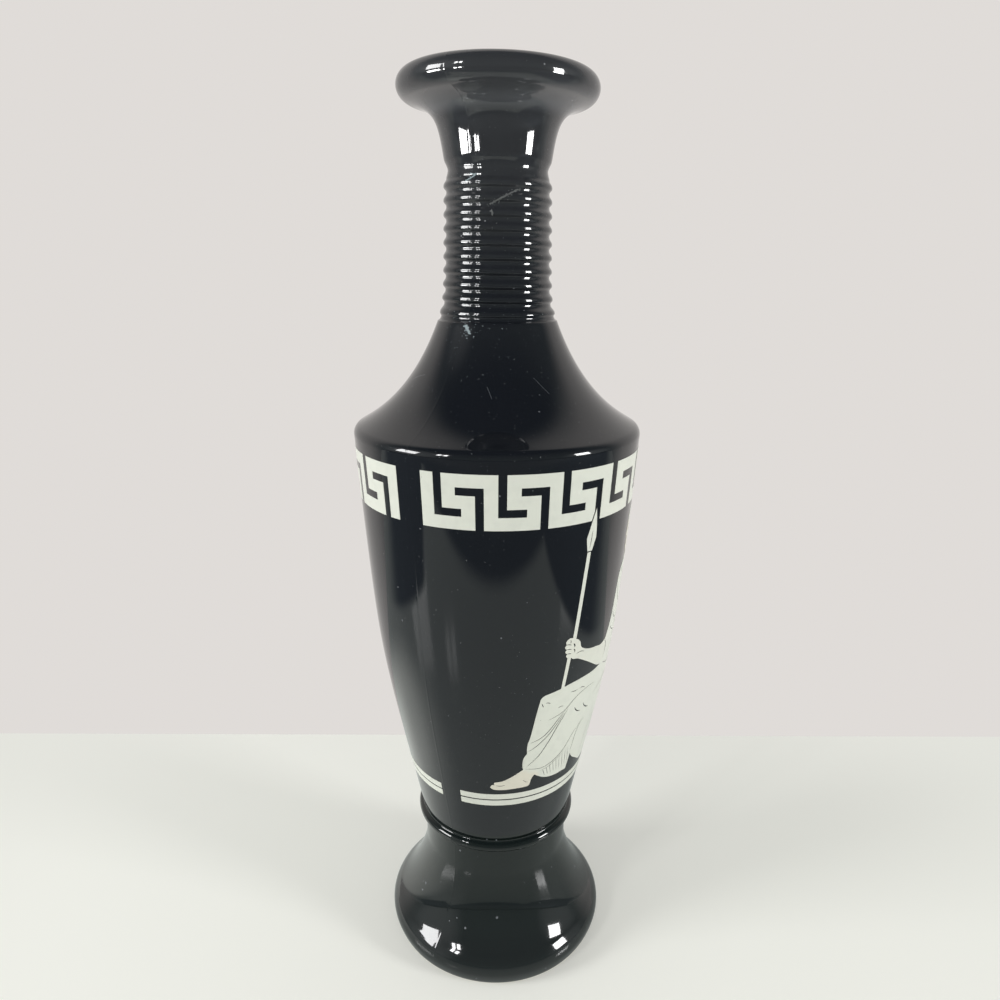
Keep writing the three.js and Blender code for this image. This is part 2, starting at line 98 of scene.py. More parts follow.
# %% [markdown]
# ## Turning a line into a casting
# A turned surface is a grid: one row for each point of the line, one column for each step
# round the axis. Both are worked out as whole arrays. Angle 0 faces the front, which is -Y,
# and angles grow towards +X. A slip-cast wall is never quite true, because the clay dries
# and sags a little. A slow ripple of less than a tenth of a millimetre bends the long
# reflections in the way that a real casting does.

# %% The ripple and the lathe
ROUND = 192


def ripple(angle, height):
    """How far the wall stands off its true radius: three sines that run round and up it."""
    slow = 0.05 * np.sin(2 * angle + height / 38 + 0.6)
    skew = 0.03 * np.sin(3 * angle - height / 24 + 1.9)
    short = 0.012 * np.sin(5 * angle + height / 9)
    return slow + skew + short


def turned_points(line, lift=0.0):
    """x = r sin angle, y = -r cos angle, z = height, where r is the radius plus the ripple."""
    angle = np.linspace(0, 2 * np.pi, ROUND, endpoint=False)[None, :]
    radius, height = line[:, :1], line[:, 1:]
    soften = np.clip(radius / 12, 0, 1)
    r = radius + lift + ripple(angle, height) * soften
    grid = np.stack([r * np.sin(angle), -r * np.cos(angle), np.broadcast_to(height, r.shape)], -1)
    return grid.reshape(-1, 3) * MM


def turned_faces(rows, closed):
    """Grid faces (row, column), (row, column + 1), (row + 1, column + 1), (row + 1, column)."""
    row = np.arange(rows if closed else rows - 1)[:, None]
    column = np.arange(ROUND)[None, :]
    after, above = (column + 1) % ROUND, (row + 1) % rows
    corners = [row * ROUND + column, row * ROUND + after, above * ROUND + after, above * ROUND + column]
    return np.stack([np.broadcast_to(corner, (len(row), ROUND)) for corner in corners], -1).reshape(-1, 4)


def turned_mesh(name, line, closed):
    """A closed line gives a ring. An open one starts and ends on the axis, where a fan of
    triangles closes each pole."""
    mesh = bpy.data.meshes.new(name)
    if closed:
        mesh.from_pydata(turned_points(line).tolist(), [], turned_faces(len(line), True).tolist())
        return mesh
    rim = line[1:-1]
    points = turned_points(rim)
    bottom, top = len(points), len(points) + 1
    poles = np.array([[0, 0, line[0, 1]], [0, 0, line[-1, 1]]]) * MM
    column = np.arange(ROUND)
    after = (column + 1) % ROUND
    last = (len(rim) - 1) * ROUND
    fans = [np.stack([after, column, np.full(ROUND, bottom)], 1)]
    fans.append(np.stack([last + column, last + after, np.full(ROUND, top)], 1))
    faces = turned_faces(len(rim), False).tolist() + np.concatenate(fans).tolist()
    mesh.from_pydata(np.vstack([points, poles]).tolist(), [], faces)
    return mesh


print("columns round each casting:", ROUND)

# %% [markdown]
# ## Placing a piece
# Each new surface stands for CAD nodes, which are then hidden, and rides on the CAD body
# that they belong to, so that the stopper can be drawn out. Smooth shading hides the facets.
# Edges that turn by more than forty degrees stay crisp.

# %% Place a piece
def place(mesh, body, nodes, crisp_deg=40):
    mesh.shade_smooth()
    mesh.set_sharp_from_angle(angle=math.radians(crisp_deg))
    piece = bpy.data.objects.new(mesh.name, mesh)
    bpy.context.scene.collection.objects.link(piece)
    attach(piece, body)
    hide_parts(*nodes)
    triangles = sum(len(face.vertices) - 2 for face in mesh.polygons)
    print(f"{mesh.name}: {triangles} triangles")
    return piece


# %% [markdown]
# ## The foot
# The foot is a bell on a rounded rim. It rises to a narrow throat, and a collar on top carries
# the body. The collar is round, and a hollow curve leads from it to the body. Both mirror the
# dark upper room, so together they read as a black band. Underneath, the foot is hollow and
# stands on a narrow ring, which is wiped clean of glaze before the firing, or it would stick
# to the shelf of the kiln. The glaze softens the edges of the ring with small bows.

# %% The foot
SEAT = 59.4
RIM_CENTRE = (37.4, 6.0)
RIM_ROUND = 6.5
COLLAR_CENTRE = (29.6, 53.7)
COLLAR_ROUND = 2.1
JOIN = (30.72, 59.4)
THROAT = (28.9, 39.4)
FOOT_HOLLOW = 23.9


def foot_line():
    rim = edge(RIM_CENTRE, RIM_ROUND, -12, 40, 22)
    heel = bow((41.0, 0), arm(0, 1.4), arm(78, 2.4), rim[0], 20)
    slope = bow(rim[-1], arm(130, 0.9), arm(136.5, 0.9), (40.75, 12.0), 8)
    bell = bow(slope[-1], arm(136.5, 8.4), arm(90, 7.1), THROAT, 40)
    collar = edge(COLLAR_CENTRE, COLLAR_ROUND, -50, 60, 22)
    wall = bow(THROAT, arm(90, 3.8), arm(88.5, 3.8), (29.06, 50.4), 14)
    fillet = bow(wall[-1], arm(88.5, 1.1), arm(40, 1.1), collar[0], 12)
    ledge = bow(collar[-1], arm(150, 1.3), arm(79, 2.9), JOIN, 24)
    outside = chain(heel, rim, slope, bell, wall, fillet, collar, ledge)
    socket = [(20.3, SEAT), (20.3, SEAT - 5), (FOOT_HOLLOW - 1, SEAT - 5)]
    crook = bow((FOOT_HOLLOW - 1, SEAT - 5), arm(0, 0.7), arm(-90, 0.7), (FOOT_HOLLOW, SEAT - 6.2), 4)
    hollow = bow((FOOT_HOLLOW, THROAT[1]), arm(-90, 19.7), arm(-90, 7.2), (36.87, 0.6), 30)
    toe = bow((36.87, 0.6), arm(-90, 0.4), arm(0, 0.4), (37.5, 0), 4)
    return chain(outside, socket, crook, hollow, toe)


foot = place(turned_mesh("foot_casting", foot_line(), True), "decanter", ["foot"])

# %% [markdown]
# ## The body
# The belly swells from the seat to a quick corner, and the shoulder runs up in a hollow
# curve to the neck. The line starts on the axis, under the floor, goes up the outside, over
# the shoulder and down the inside of the wall, so that the body is one closed shell. The
# belly's outer line is kept, because the prints have to lie on it.

# %% The body
CORNER = 210.2
SHOULDER_TOP = 248.2
WALL = 5.2
belly = bow((30.9, 60.0), np.array([0.2, 1]) * 69.6, np.array([0.065, 1]) * 92.3, (50.8, CORNER), 130)
corner = edge((47.3, CORNER), 3.5, 0, 59, 18)
shoulder = bow(corner[-1], arm(149, 6.6), arm(111, 26.4), (20.7, SHOULDER_TOP), 64)


def body_line():
    underside = [(0, SEAT - 3), (19.4, SEAT - 3), (20, SEAT - 2.4), (20, SEAT), (29.8, SEAT), (JOIN[0] - 0.02, SEAT - 0.12)]
    base = bow(underside[-1], arm(79, 0.3), arm(79, 0.3), belly[1], 4)
    lip = bow(shoulder[-1], arm(111, 0.5), arm(180, 0.5), (19.6, SHOULDER_TOP + 0.25), 6)
    mouth = [(15.9, SHOULDER_TOP + 0.25), (15.9, 241.8)]
    inside_shoulder = moved_in(shoulder[4:-14:4], WALL)[::-1]
    inside_belly = moved_in(belly[12::6], WALL)[::-1]
    floor = bow(inside_belly[-1], arm(-98, 3.5), arm(180, 4), (20, SEAT + 6), 6)
    inside = inside_shoulder[inside_shoulder[:, 0] > 16.4]
    return chain(underside, base, belly[1:], corner, shoulder, lip, mouth, inside, inside_belly, floor, [(0, SEAT + 6)])


body = place(turned_mesh("body_casting", body_line(), False), "decanter", ["body"])
print("widest point of the belly in mm:", round(float(belly[:, 0].max()), 1))

# %% [markdown]
# ## The neck
# Ten ribs run round the neck. A rib is not even: its under side falls back quickly and its top
# slopes away slowly. Crest and groove are both broad and round, so that a window shows twice
# on each rib, as a spot on the crest and a second one in the groove below it. Above the ribs a
# waist opens into a trumpet with a thick rolled lip, and a funnel leads down to the bore. The
# neck has settled in the kiln: it leans by about a degree to the right.

# %% The ribs
RIBS_BASE = 249.0
RIB_COUNT = 10
RIB_PITCH = 4.4
RIB_DEPTH = 0.92
RIB_UNDER_SIDE = 0.41


def rib_line(steps=24):
    """Crest radius minus the depth times (1 - swell). Over each side of a rib the swell goes
    from 0 to 1 as 10t^3 - 15t^4 + 6t^5, which starts and ends flat."""
    climb = np.linspace(0, RIB_COUNT * RIB_PITCH, RIB_COUNT * steps + 1)
    crest = 18.0 + 0.8 * (1 - climb / (RIB_COUNT * RIB_PITCH)) + 1.9 * np.exp(-climb / 3.8)
    turn = (climb / RIB_PITCH + RIB_UNDER_SIDE - 0.5) % 1
    t = np.interp(turn, [0, RIB_UNDER_SIDE, 1], [0, 1, 0])
    swell = t**3 * (10 - 15 * t + 6 * t**2)
    return np.stack([crest - RIB_DEPTH * (1 - swell), RIBS_BASE + climb], 1)


# %% The neck
LIP_CENTRE = (28.25, 320.1)
LIP_ROUND = 4.4
WAIST = (16.65, 296.4)
TRUMPET = (18.0, 300.4)
BORE = 12.0
BORE_TOP = 299.5


def neck_line():
    ribs = rib_line()
    foot = bow((20.5, SHOULDER_TOP + 0.1), arm(120, 0.5), arm(90, 0.3), ribs[0], 5)
    waist = bow(ribs[-1], arm(92, 0.8), arm(70, 1.1), WAIST, 10)
    lip = edge(LIP_CENTRE, LIP_ROUND, -77, 150, 64)
    trumpet = bow(WAIST, arm(70, 2.4), arm(81, 3), TRUMPET, 14)
    bell = bow(TRUMPET, arm(81, 10.2), arm(13, 8.6), lip[0], 44)
    funnel = bow(lip[-1], arm(240, 10.3), arm(-90, 13.8), (BORE, BORE_TOP), 30)
    spigot = [(BORE, 240.7), (BORE + 0.5, 240.2), (15.1, 240.2), (15.6, 240.7), (15.6, SHOULDER_TOP + 0.1)]
    return chain(spigot, foot, ribs, waist, trumpet, bell, lip, funnel)


def settle(mesh, slope_deg=0.9, start=248.4, full=254.0):
    """Lowers each point by x tan slope, more and more from the start height to the full one."""
    points = np.empty(len(mesh.vertices) * 3)
    mesh.vertices.foreach_get("co", points)
    points = points.reshape(-1, 3)
    share = np.clip((points[:, 2] / MM - start) / (full - start), 0, 1)
    share = share**2 * (3 - 2 * share) * (np.hypot(points[:, 0], points[:, 1]) > BORE * MM * 1.02)
    points[:, 2] -= points[:, 0] * math.tan(math.radians(slope_deg)) * share
    mesh.vertices.foreach_set("co", points.ravel())
    return mesh


neck = place(settle(turned_mesh("neck_casting", neck_line(), True)), "decanter", ["neck"])

# %% [markdown]
# ## The stopper
# A tapered cork fills the bore. Its head is turned and glazed like the decanter: a flange
# that sits on the cork, a stem and a round knob to pull. It stays below the lip, so from the
# side the mouth looks open. A peg under the flange holds the head in the cork.

# %% The stopper
CORK_TOP = 308.5
CORK_BOTTOM = 282.5


def cork_line():
    bottom = bow((10.3, CORK_BOTTOM), arm(0, 0.4), arm(86, 0.4), (11, CORK_BOTTOM + 0.7), 4)
    top = bow((12.1, CORK_TOP - 0.7), arm(88, 0.4), arm(180, 0.4), (11.4, CORK_TOP), 4)
    hole = [(3.3, CORK_TOP), (3.3, CORK_TOP - 12.3), (0, CORK_TOP - 12.3)]
    return chain([(0, CORK_BOTTOM)], bottom, top, hole)


def head_line():
    peg = [(0, CORK_TOP - 12), (2.6, CORK_TOP - 12), (3, CORK_TOP - 11.6), (3, CORK_TOP)]
    flange = edge((12.4, CORK_TOP + 1.1), 1.1, -90, 90, 12)
    stem = bow((12.4, CORK_TOP + 2.2), arm(180, 3.6), arm(75, 1.2), (7.5, CORK_TOP + 4.2), 10)
    knob = edge((6.3, CORK_TOP + 10.8), 4.2, -60, 84, 26)
    neck_in = bow((7.5, CORK_TOP + 4.2), arm(95, 1.6), arm(30, 1.2), knob[0], 8)
    crown = bow(knob[-1], arm(174, 2.2), arm(180, 2), (0, CORK_TOP + 15.2), 8)
    return chain(peg, flange, stem, neck_in, knob, crown)


cork = place(turned_mesh("cork", cork_line(), False), "stopper", ["stopper_cork"])
head = place(turned_mesh("cork_head", head_line(), False), "stopper", ["stopper_head"])

# %% [markdown]
# ## Prints on the wall
# The white decoration is enamel, screened onto transfer paper, slid onto the glaze and
# fired. There are two equal transfers. Each covers nearly half of the way round, and the
# bare strips between them run over the seams of the mould. A print is drawn flat first, in
# degrees from the start of the transfer and millimetres of height. It is then filled with
# triangles small enough to follow the wall, and gets a little thickness: its face stands
# proud of the glaze and its back lies in it.

# %% Ink on the wall
PANEL_START = -27.9
PANEL_TURN = 180.0
DEGREE = math.radians(1) * 48
INK_FACE = 0.07
INK_BACK = -0.05


def on_wall(flat, panel, lift):
    """Turns (degrees, height) into x = r sin angle, y = -r cos angle, z = height."""
    angle = np.radians(flat[:, 0] + PANEL_START + panel * PANEL_TURN)
    height = flat[:, 1]
    radius = np.interp(height, belly[:, 1], belly[:, 0]) + ripple(angle, height) + lift
    return np.stack([radius * np.sin(angle), -radius * np.cos(angle), height], 1) * MM


def open_edges(triangles):
    """The directed edges that no other triangle walks the other way, which are the outline."""
    edges = np.concatenate([triangles[:, [0, 1]], triangles[:, [1, 2]], triangles[:, [2, 0]]])
    size = triangles.max() + 1
    forward = edges[:, 0] * size + edges[:, 1]
    backward = edges[:, 1] * size + edges[:, 0]
    return edges[~np.isin(forward, backward)]


def print_mesh(name, flat, triangles, panel):
    """The face, the back with its triangles turned round, and a strip along every open edge."""
    count = len(flat)
    points = np.vstack([on_wall(flat, panel, INK_FACE), on_wall(flat, panel, INK_BACK)])
    outline = open_edges(triangles)
    start, end = outline[:, 0], outline[:, 1]
    sides = np.stack([end, start, start + count, end + count], 1)
    mesh = bpy.data.meshes.new(name)
    faces = triangles.tolist() + (triangles[:, ::-1] + count).tolist() + sides.tolist()
    mesh.from_pydata(points.tolist(), [], faces)
    return mesh


# %% [markdown]
# ## Filling an outline
# The outlines, the lines cut out of them and a loose grid of inner points go into one
# triangulation that keeps every outline as edges. A triangle is ink if its middle lies
# inside an outline and outside every cut. Blender can also fill curves with holes, but its
# long thin triangles would cut straight through a round wall.

# %% Fill an outline
def inside(points, loop):
    """Counts how often a line to the right crosses the loop: an odd count is inside."""
    x, y = points[:, 0][:, None], points[:, 1][:, None]
    x0, y0 = loop[:, 0][None], loop[:, 1][None]
    x1, y1 = np.roll(loop[:, 0], -1)[None], np.roll(loop[:, 1], -1)[None]
    spans = (y0 > y) != (y1 > y)
    rise = np.where(y1 == y0, 1.0, y1 - y0)
    return ((x < x0 + (y - y0) * (x1 - x0) / rise) & spans).sum(1) % 2 == 1


def within_any(points, loops):
    found = np.zeros(len(points), bool)
    for loop in loops:
        found |= inside(points, loop)
    return found


def walked(loop, step):
    """The loop with extra points, so that no edge is longer than the step."""
    pieces = []
    for here, there in zip(loop, np.roll(loop, -1, axis=0)):
        parts = max(1, int(np.linalg.norm(there - here) // step))
        share = np.arange(parts)[:, None] / parts
        pieces.append(here + share * (there - here))
    return np.concatenate(pieces)


def fill(outlines, cuts, step=1.8):
    """Takes and gives (degrees, height), but works in millimetres, so that triangles are even."""
    scale = np.array([DEGREE, 1.0])
    loops = [walked(np.asarray(loop, float) * scale, step) for loop in [*outlines, *cuts]]
    ink, bare = loops[: len(outlines)], loops[len(outlines) :]
    points = np.concatenate(loops)
    low, high = points.min(0), points.max(0)
    across, up = np.meshgrid(np.arange(low[0], high[0], step), np.arange(low[1], high[1], step))
    inner = np.stack([across.ravel(), up.ravel()], 1) + 0.37 * step
    inner = inner[within_any(inner, ink)]
    edges, first = [], 0
    for loop in loops:
        ring = first + np.arange(len(loop))
        edges += np.stack([ring, np.roll(ring, -1)], 1).tolist()
        first += len(loop)
    given = [Vector(point) for point in np.concatenate([points, inner])]
    made = delaunay_2d_cdt(given, edges, [], 0, 1e-4)
    flat, triangles = np.array(made[0]), np.array(made[2])
    middle = flat[triangles].mean(1)
    triangles = triangles[within_any(middle, ink) & ~within_any(middle, bare)]
    used, triangles = np.unique(triangles, return_inverse=True)
    return flat[used] / scale, triangles.reshape(-1, 3)


# %% [markdown]
# ## Drawing with smooth runs and a brush
# A drawing is a list of runs. Within a run the line is smooth, and where two runs meet it
# has a corner. The brush turns a line into a stroke that starts and ends in a point, as a
# painter's brush does. Strokes are cut out of the ink, so the black glaze draws them.

# %% Smooth runs and a brush
def smooth(run, steps=5):
    """Catmull-Rom: between two points the line leaves and arrives along the chords of
    their neighbours."""
    run = np.asarray(run, float)
    if len(run) == 2:
        return run
    padded = np.vstack([2 * run[0] - run[1], run, 2 * run[-1] - run[-2]])
    t = np.linspace(0, 1, steps, endpoint=False)[None, :, None]
    a, b, c, d = (padded[i : len(padded) - 3 + i, None, :] for i in range(4))
    curve = b + 0.5 * t * (c - a + t * (2 * a - 5 * b + 4 * c - d + t * (3 * (b - c) + d - a)))
    return np.vstack([curve.reshape(-1, 2), run[-1:]])


def drawn(runs):
    return chain(*[smooth(run) for run in runs])[:-1]


def stroke(width, run, steps=7):
    """Two copies of the line, moved apart by the width times the root of sin(pi t)."""
    line = smooth(run, steps) * np.array([DEGREE, 1.0])
    along = np.gradient(line, axis=0)
    along /= np.linalg.norm(along, axis=1)[:, None]
    side = np.stack([-along[:, 1], along[:, 0]], 1)
    half = width / 2 * np.sqrt(np.sin(np.pi * np.linspace(0, 1, len(line))))[:, None]
    both = np.vstack([line + half * side, (line - half * side)[-2:0:-1]])
    return both / np.array([DEGREE, 1.0])


# %% [markdown]
# ## The seated figure
# A draped figure sits on a block and holds a spear, as on many old jars. Only its front is
# in sight in the photograph: foot, knees, forearm and spear. The rest, with the face, is a
# plain drawing in the same manner. Each point is (degrees from the start of the transfer,
# millimetres above the upper stripe).

# %% The outline of the figure
STRIPE_TOP = 81.4
FIGURE = [
    [(24.7, 3.5), (25.2, 4.3), (26.3, 4.8), (27.7, 4.5)],
    [(27.7, 4.5), (26.9, 5.1), (27.3, 5.9), (28.8, 6.1), (31.2, 6.4), (33.9, 7.2), (37.9, 8.8), (40.9, 10.2), (43.1, 11.2)],
    [(43.1, 11.2), (42.6, 12.8), (42.4, 14.6), (42.8, 16.9), (44.4, 18.8)],
    [(44.4, 18.8), (44.1, 21.2), (44.3, 23.8)],
    [(44.3, 23.8), (45.2, 26), (46, 29.9), (47.1, 35.8), (48.3, 41.1), (48.9, 42.8), (50.6, 43.8), (53.2, 44.2)],
    [(53.2, 44.2), (57.9, 44.8), (62.9, 45.6), (67.9, 46), (72.9, 46.2), (79.9, 46.3), (86.3, 46.9)],
    [(86.3, 46.9), (82.4, 47.9), (77.9, 50.1), (72.9, 52.6), (68.9, 54.5), (65.9, 55.7), (63.6, 56.1), (61.9, 57.2)],
    [(61.9, 57.2), (60.2, 57.3), (59.4, 58.1), (59.9, 58.9)],
    [(59.9, 58.9), (58.9, 59.5), (58.9, 60.2), (59.5, 60.7)],
    [(59.5, 60.7), (58.5, 61.3), (58.5, 62.1), (59.1, 62.6)],
    [(59.1, 62.6), (58.7, 63.6), (59.5, 64.5), (60.7, 64.9), (62.1, 64.7)],
    [(62.1, 64.7), (63.7, 64), (65.5, 63.3), (66.8, 62), (67.5, 60.2), (69.1, 59), (72.9, 57.7), (77.9, 56.8)],
    [(77.9, 57), (82.9, 56.1), (87.1, 56.9)],
    [(87.1, 56.9), (89.1, 59.9), (91.1, 64.4), (92.4, 69.3), (93.1, 74.2), (94.3, 79.2), (96.9, 82.4), (101.3, 84.5)],
    [(101.3, 84.5), (102.5, 86), (102.8, 87.5)],
    [(102.8, 87.5), (101.5, 87.6), (100.5, 88.5), (100.4, 89.7), (100.9, 90.5)],
    [(100.9, 90.5), (100.4, 91.1), (100.7, 91.8), (100.3, 92.4), (100.8, 93.1)],
    [(100.8, 93.1), (99.9, 93.4), (99.1, 94), (99.7, 96), (100.3, 98.1), (100.6, 100), (101.5, 102.2), (103.9, 104.4)],
    [(103.9, 104.4), (107.1, 105.2), (110.5, 104.8), (113.3, 103), (114.9, 100.4), (115.5, 98.5)],
    [(115.5, 98.5), (117.5, 98.1), (118.9, 96.3), (118.3, 93.9), (116.1, 92.8)],
    [(116.1, 92.8), (114.5, 91), (114.1, 88.2), (115.1, 86.3)],
    [(115.1, 86.3), (118.4, 85.1), (122.2, 82.9), (124.9, 77.7), (126.3, 70.3), (126.2, 62.9), (125.7, 55.5)],
    [(125.7, 55.5), (126, 47.6), (127.5, 39.8), (129.5, 33.4), (130.9, 28.9)],
    [(130.9, 28.9), (131, 2.4)],
    [(131, 2.4), (92.4, 2.4)],
    [(92.4, 2.4), (89.3, 2.9), (83.7, 5.5), (78.5, 8), (75.3, 10.8)],
    [(75.3, 10.8), (74.8, 7.2), (74.1, 3.8)],
    [(74.1, 3.8), (70.4, 4), (66.4, 3.9), (62.4, 4.1), (58.1, 4.7), (54.3, 5.9), (50.3, 7.7)],
    [(50.3, 7.7), (49.2, 6.7), (48.4, 5.5)],
    [(48.4, 5.5), (48.1, 3.9), (47.1, 2.8), (43.9, 2.5), (38.9, 2.4), (32.9, 2.2), (28.3, 2.3), (26.1, 2.7), (24.7, 3.6)],
]
SPEAR_HEAD = [
    [(64.4, 100.6), (65.4, 103.2), (66.6, 106.5), (68.2, 110.7)],
    [(68.2, 110.7), (68.7, 107.5), (69.1, 104), (69.3, 100.5)],
    [(69.3, 100.5), (68.4, 98.1), (67.6, 96)],
    [(67.6, 96), (65.3, 96)],
    [(65.3, 96), (64.8, 98.3), (64.4, 100.6)],
]
SHAFT_ABOVE = [(62.1, 63.8), (64, 63.8), (67.2, 95.6), (65.4, 95.6)]
SHAFT_BELOW = [(58.8, 44.6), (60.6, 44.8), (62.4, 58.6), (60.5, 58.6)]

# %% [markdown]
# ## The lines in the figure
# Folds hang from the knee and gather at the hem, and short pleats fan out below it. A
# stroke is its width in millimetres and its run of points.

# %% The lines in the figure
FOLDS = [
    (0.4, [(44.8, 23.4), (49.4, 24.4), (52.9, 25.7), (55.8, 27.7), (58.7, 30.4), (61.6, 32.9), (63.9, 34.5)]),
    (0.4, [(44, 19.4), (48.5, 21.2), (52.3, 23.4), (55.7, 25.8), (58.6, 28.5), (61.4, 31.4), (63.7, 33.5)]),
    (0.45, [(44.8, 12.3), (48.5, 14.6), (52, 17.3), (56.2, 22.4), (58.3, 25.5), (60.6, 28.9), (63, 31.8), (65.4, 35)]),
    (0.32, [(53.5, 32.4), (56.7, 32.9), (60, 33.6), (62.8, 34.5), (65.1, 35.8), (67.9, 37.7), (72.1, 39.4), (78.4, 40.3), (85, 40)]),
    (0.35, [(49.4, 40.6), (50, 39.7), (50.5, 38.9)]),
    (0.3, [(51.4, 40.5), (52.7, 40.4), (54.1, 39.8)]),
    (0.3, [(58.7, 36.8), (60.1, 37.1), (61.7, 37)]),
    (0.28, [(65.1, 42), (67.9, 41.6), (70, 42)]),
    (0.28, [(71, 41.6), (73, 41.8), (75.4, 41)]),
    (0.45, [(69.9, 34.1), (70.9, 32.7), (73, 31.3), (75.3, 30.7)]),
    (0.45, [(76.5, 33.9), (77.8, 32.2), (80.7, 30.5), (83.2, 30)]),
    (0.35, [(43.4, 11.5), (49.2, 10.6), (54.5, 10.2), (59.7, 11.2), (64.5, 13.1), (68, 15.5), (70.8, 18.5), (73.3, 21.1), (77.1, 23.6), (81.9, 25.2)]),
    (0.22, [(52.7, 8.8), (58, 9.5), (62.7, 11.2), (67, 13.3), (69.9, 15.7)]),
    (0.35, [(74.5, 11.2), (74.9, 13.9), (75.6, 18), (76.6, 21.5), (78.3, 24.3), (80.3, 26.6)]),
    (0.35, [(87.8, 6.8), (88.7, 10.8), (88.8, 15.5), (89.8, 18.5), (91.5, 20.9)]),
    (0.45, [(97, 27), (103, 19), (107, 12), (110, 5.8)]),
    (0.45, [(93, 24), (97, 17), (100, 10.8), (102, 4.9)]),
    (0.5, [(89.5, 46.4), (98, 43.8), (108, 44.6), (118, 50.2), (124, 56.5)]),
    (0.45, [(84, 34.5), (95, 37.3), (106, 38.6), (117, 42.2), (124.6, 48.5)]),
    (0.45, [(92, 31.5), (103, 31.6), (114, 34.8), (125, 41.2)]),
    (0.45, [(104, 25.2), (113, 26.8), (121, 30.6), (127.5, 36.2)]),
]
SLEEVE = [
    (0.45, [(88.4, 48.6), (89.6, 51.6), (89.1, 54.4), (87.4, 56.8)]),
    (0.45, [(94.5, 47.9), (98.8, 52.8), (102, 60.8), (103.6, 69), (104.2, 76.4)]),
    (0.4, [(91.9, 60.6), (95.6, 58), (99.4, 57)]),
    (0.4, [(92.6, 66.4), (96.4, 62.8), (101.2, 61.6)]),
    (0.4, [(94.2, 77.6), (97.4, 71.4), (102.4, 67.2)]),
    (0.4, [(97.6, 82), (104.6, 77.6), (112, 75.8), (120.6, 76.6)]),
    (0.4, [(101.2, 84), (107.6, 80.4), (114.2, 79.6), (121, 81)]),
    (0.4, [(107, 74), (112, 66), (119, 60), (125.2, 57.6)]),
    (0.4, [(106.6, 68), (111.2, 58.6), (117.4, 53)]),
]
HEAD = [
    (0.35, [(101.4, 100.4), (104, 101.1), (108.6, 100.8), (113.6, 98.6)]),
    (0.35, [(101.3, 98.7), (104, 99.2), (108.4, 98.8), (112.8, 96.6)]),
    (0.3, [(104.8, 98.4), (105.6, 95.6), (107.6, 93.9), (108.6, 91.4), (111.4, 89.9)]),
    (0.3, [(104.6, 103.4), (107, 103.7), (109.8, 103)]),
    (0.3, [(107.4, 96.2), (109.8, 96.8), (112.4, 95)]),
    (0.3, [(109.4, 93.9), (111.2, 94.4), (113.2, 92.8)]),
    (0.3, [(114.6, 96.8), (116.4, 96.7), (117.5, 95.5)]),
    (0.35, [(101.2, 96.9), (102.2, 97.1), (103.5, 96.7)]),
    (0.4, [(101.2, 95.5), (102, 95.7), (103, 95.4)]),
    (0.25, [(100.6, 91.8), (101.4, 91.8), (102.2, 91.6)]),
    (0.3, [(102.9, 88), (105, 88.9), (106.8, 90.8)]),
]
HAND = [
    (0.28, [(58.9, 62.7), (60.4, 62.5), (61.9, 62)]),
    (0.28, [(59.2, 60.8), (60.8, 60.6), (62.2, 60.2)]),
    (0.28, [(59.6, 59), (61, 58.8), (62.2, 58.5)]),
    (0.34, [(61, 64.2), (61.3, 63.4), (61, 62.8)]),
    (0.6, [(62.9, 62.4), (63.6, 61.6), (63.7, 60.8)]),
    (0.5, [(63.3, 60.2), (64, 59.4), (63.9, 58.8)]),
    (0.25, [(64.8, 57.6), (67.6, 58.1), (70.2, 57.5)]),
    (0.3, [(27.9, 4.5), (30.6, 4.2), (33.6, 4.6)]),
    (0.25, [(43.5, 6.2), (45.3, 5), (47, 4.6)]),
]
BLOCK = [
    (0.45, [(97, 10.4), (106, 10.2), (128.6, 10.2)]),
    (0.45, [(128.4, 10.6), (128.5, 18), (128.2, 27)]),
    (0.45, [(99, 5.4), (110, 5.3), (130.4, 5.3)]),
]
pleat_tops = np.linspace(56.5, 73.2, 9)
PLEATS = [
    (0.24, [(top - 1.2, 9.2 + (top - 56.5) * 0.36), (top - 0.3, 7.6 + (top - 56.5) * 0.2), (top + 0.9, 5.6)])
    for top in pleat_tops
]
RIDGE = (0.3, [(66.2, 96.8), (66.8, 99.8), (67.2, 103.4)])
figure_lines = [*FOLDS, *SLEEVE, *HEAD, *HAND, *BLOCK, *PLEATS, RIDGE]
print("strokes in the figure:", len(figure_lines))

# %% [markdown]
# ## The Greek key
# One turn of the key is a row of six columns, and the ink is read off five rows, from the
# bottom up. Seven turns and one closing upright fill the transfer. The tip of the spear lies
# over the key, with a fine dark line round it, so the tip's outline is widened a little and
# cut out of the key.

# %% The key and the stripes
KEY_BASE = 188.0
KEY_ROWS = [4.3, 2.6, 4.3, 2.6, 4.3]
KEY_INK = ["#####.", "#...#.", "#.###.", "#.#...", "#.####"]
PANEL_ARC = 169.0
KEY_LINE, KEY_SLOT = 5.0, 3.13
KEY_TURNS = 7


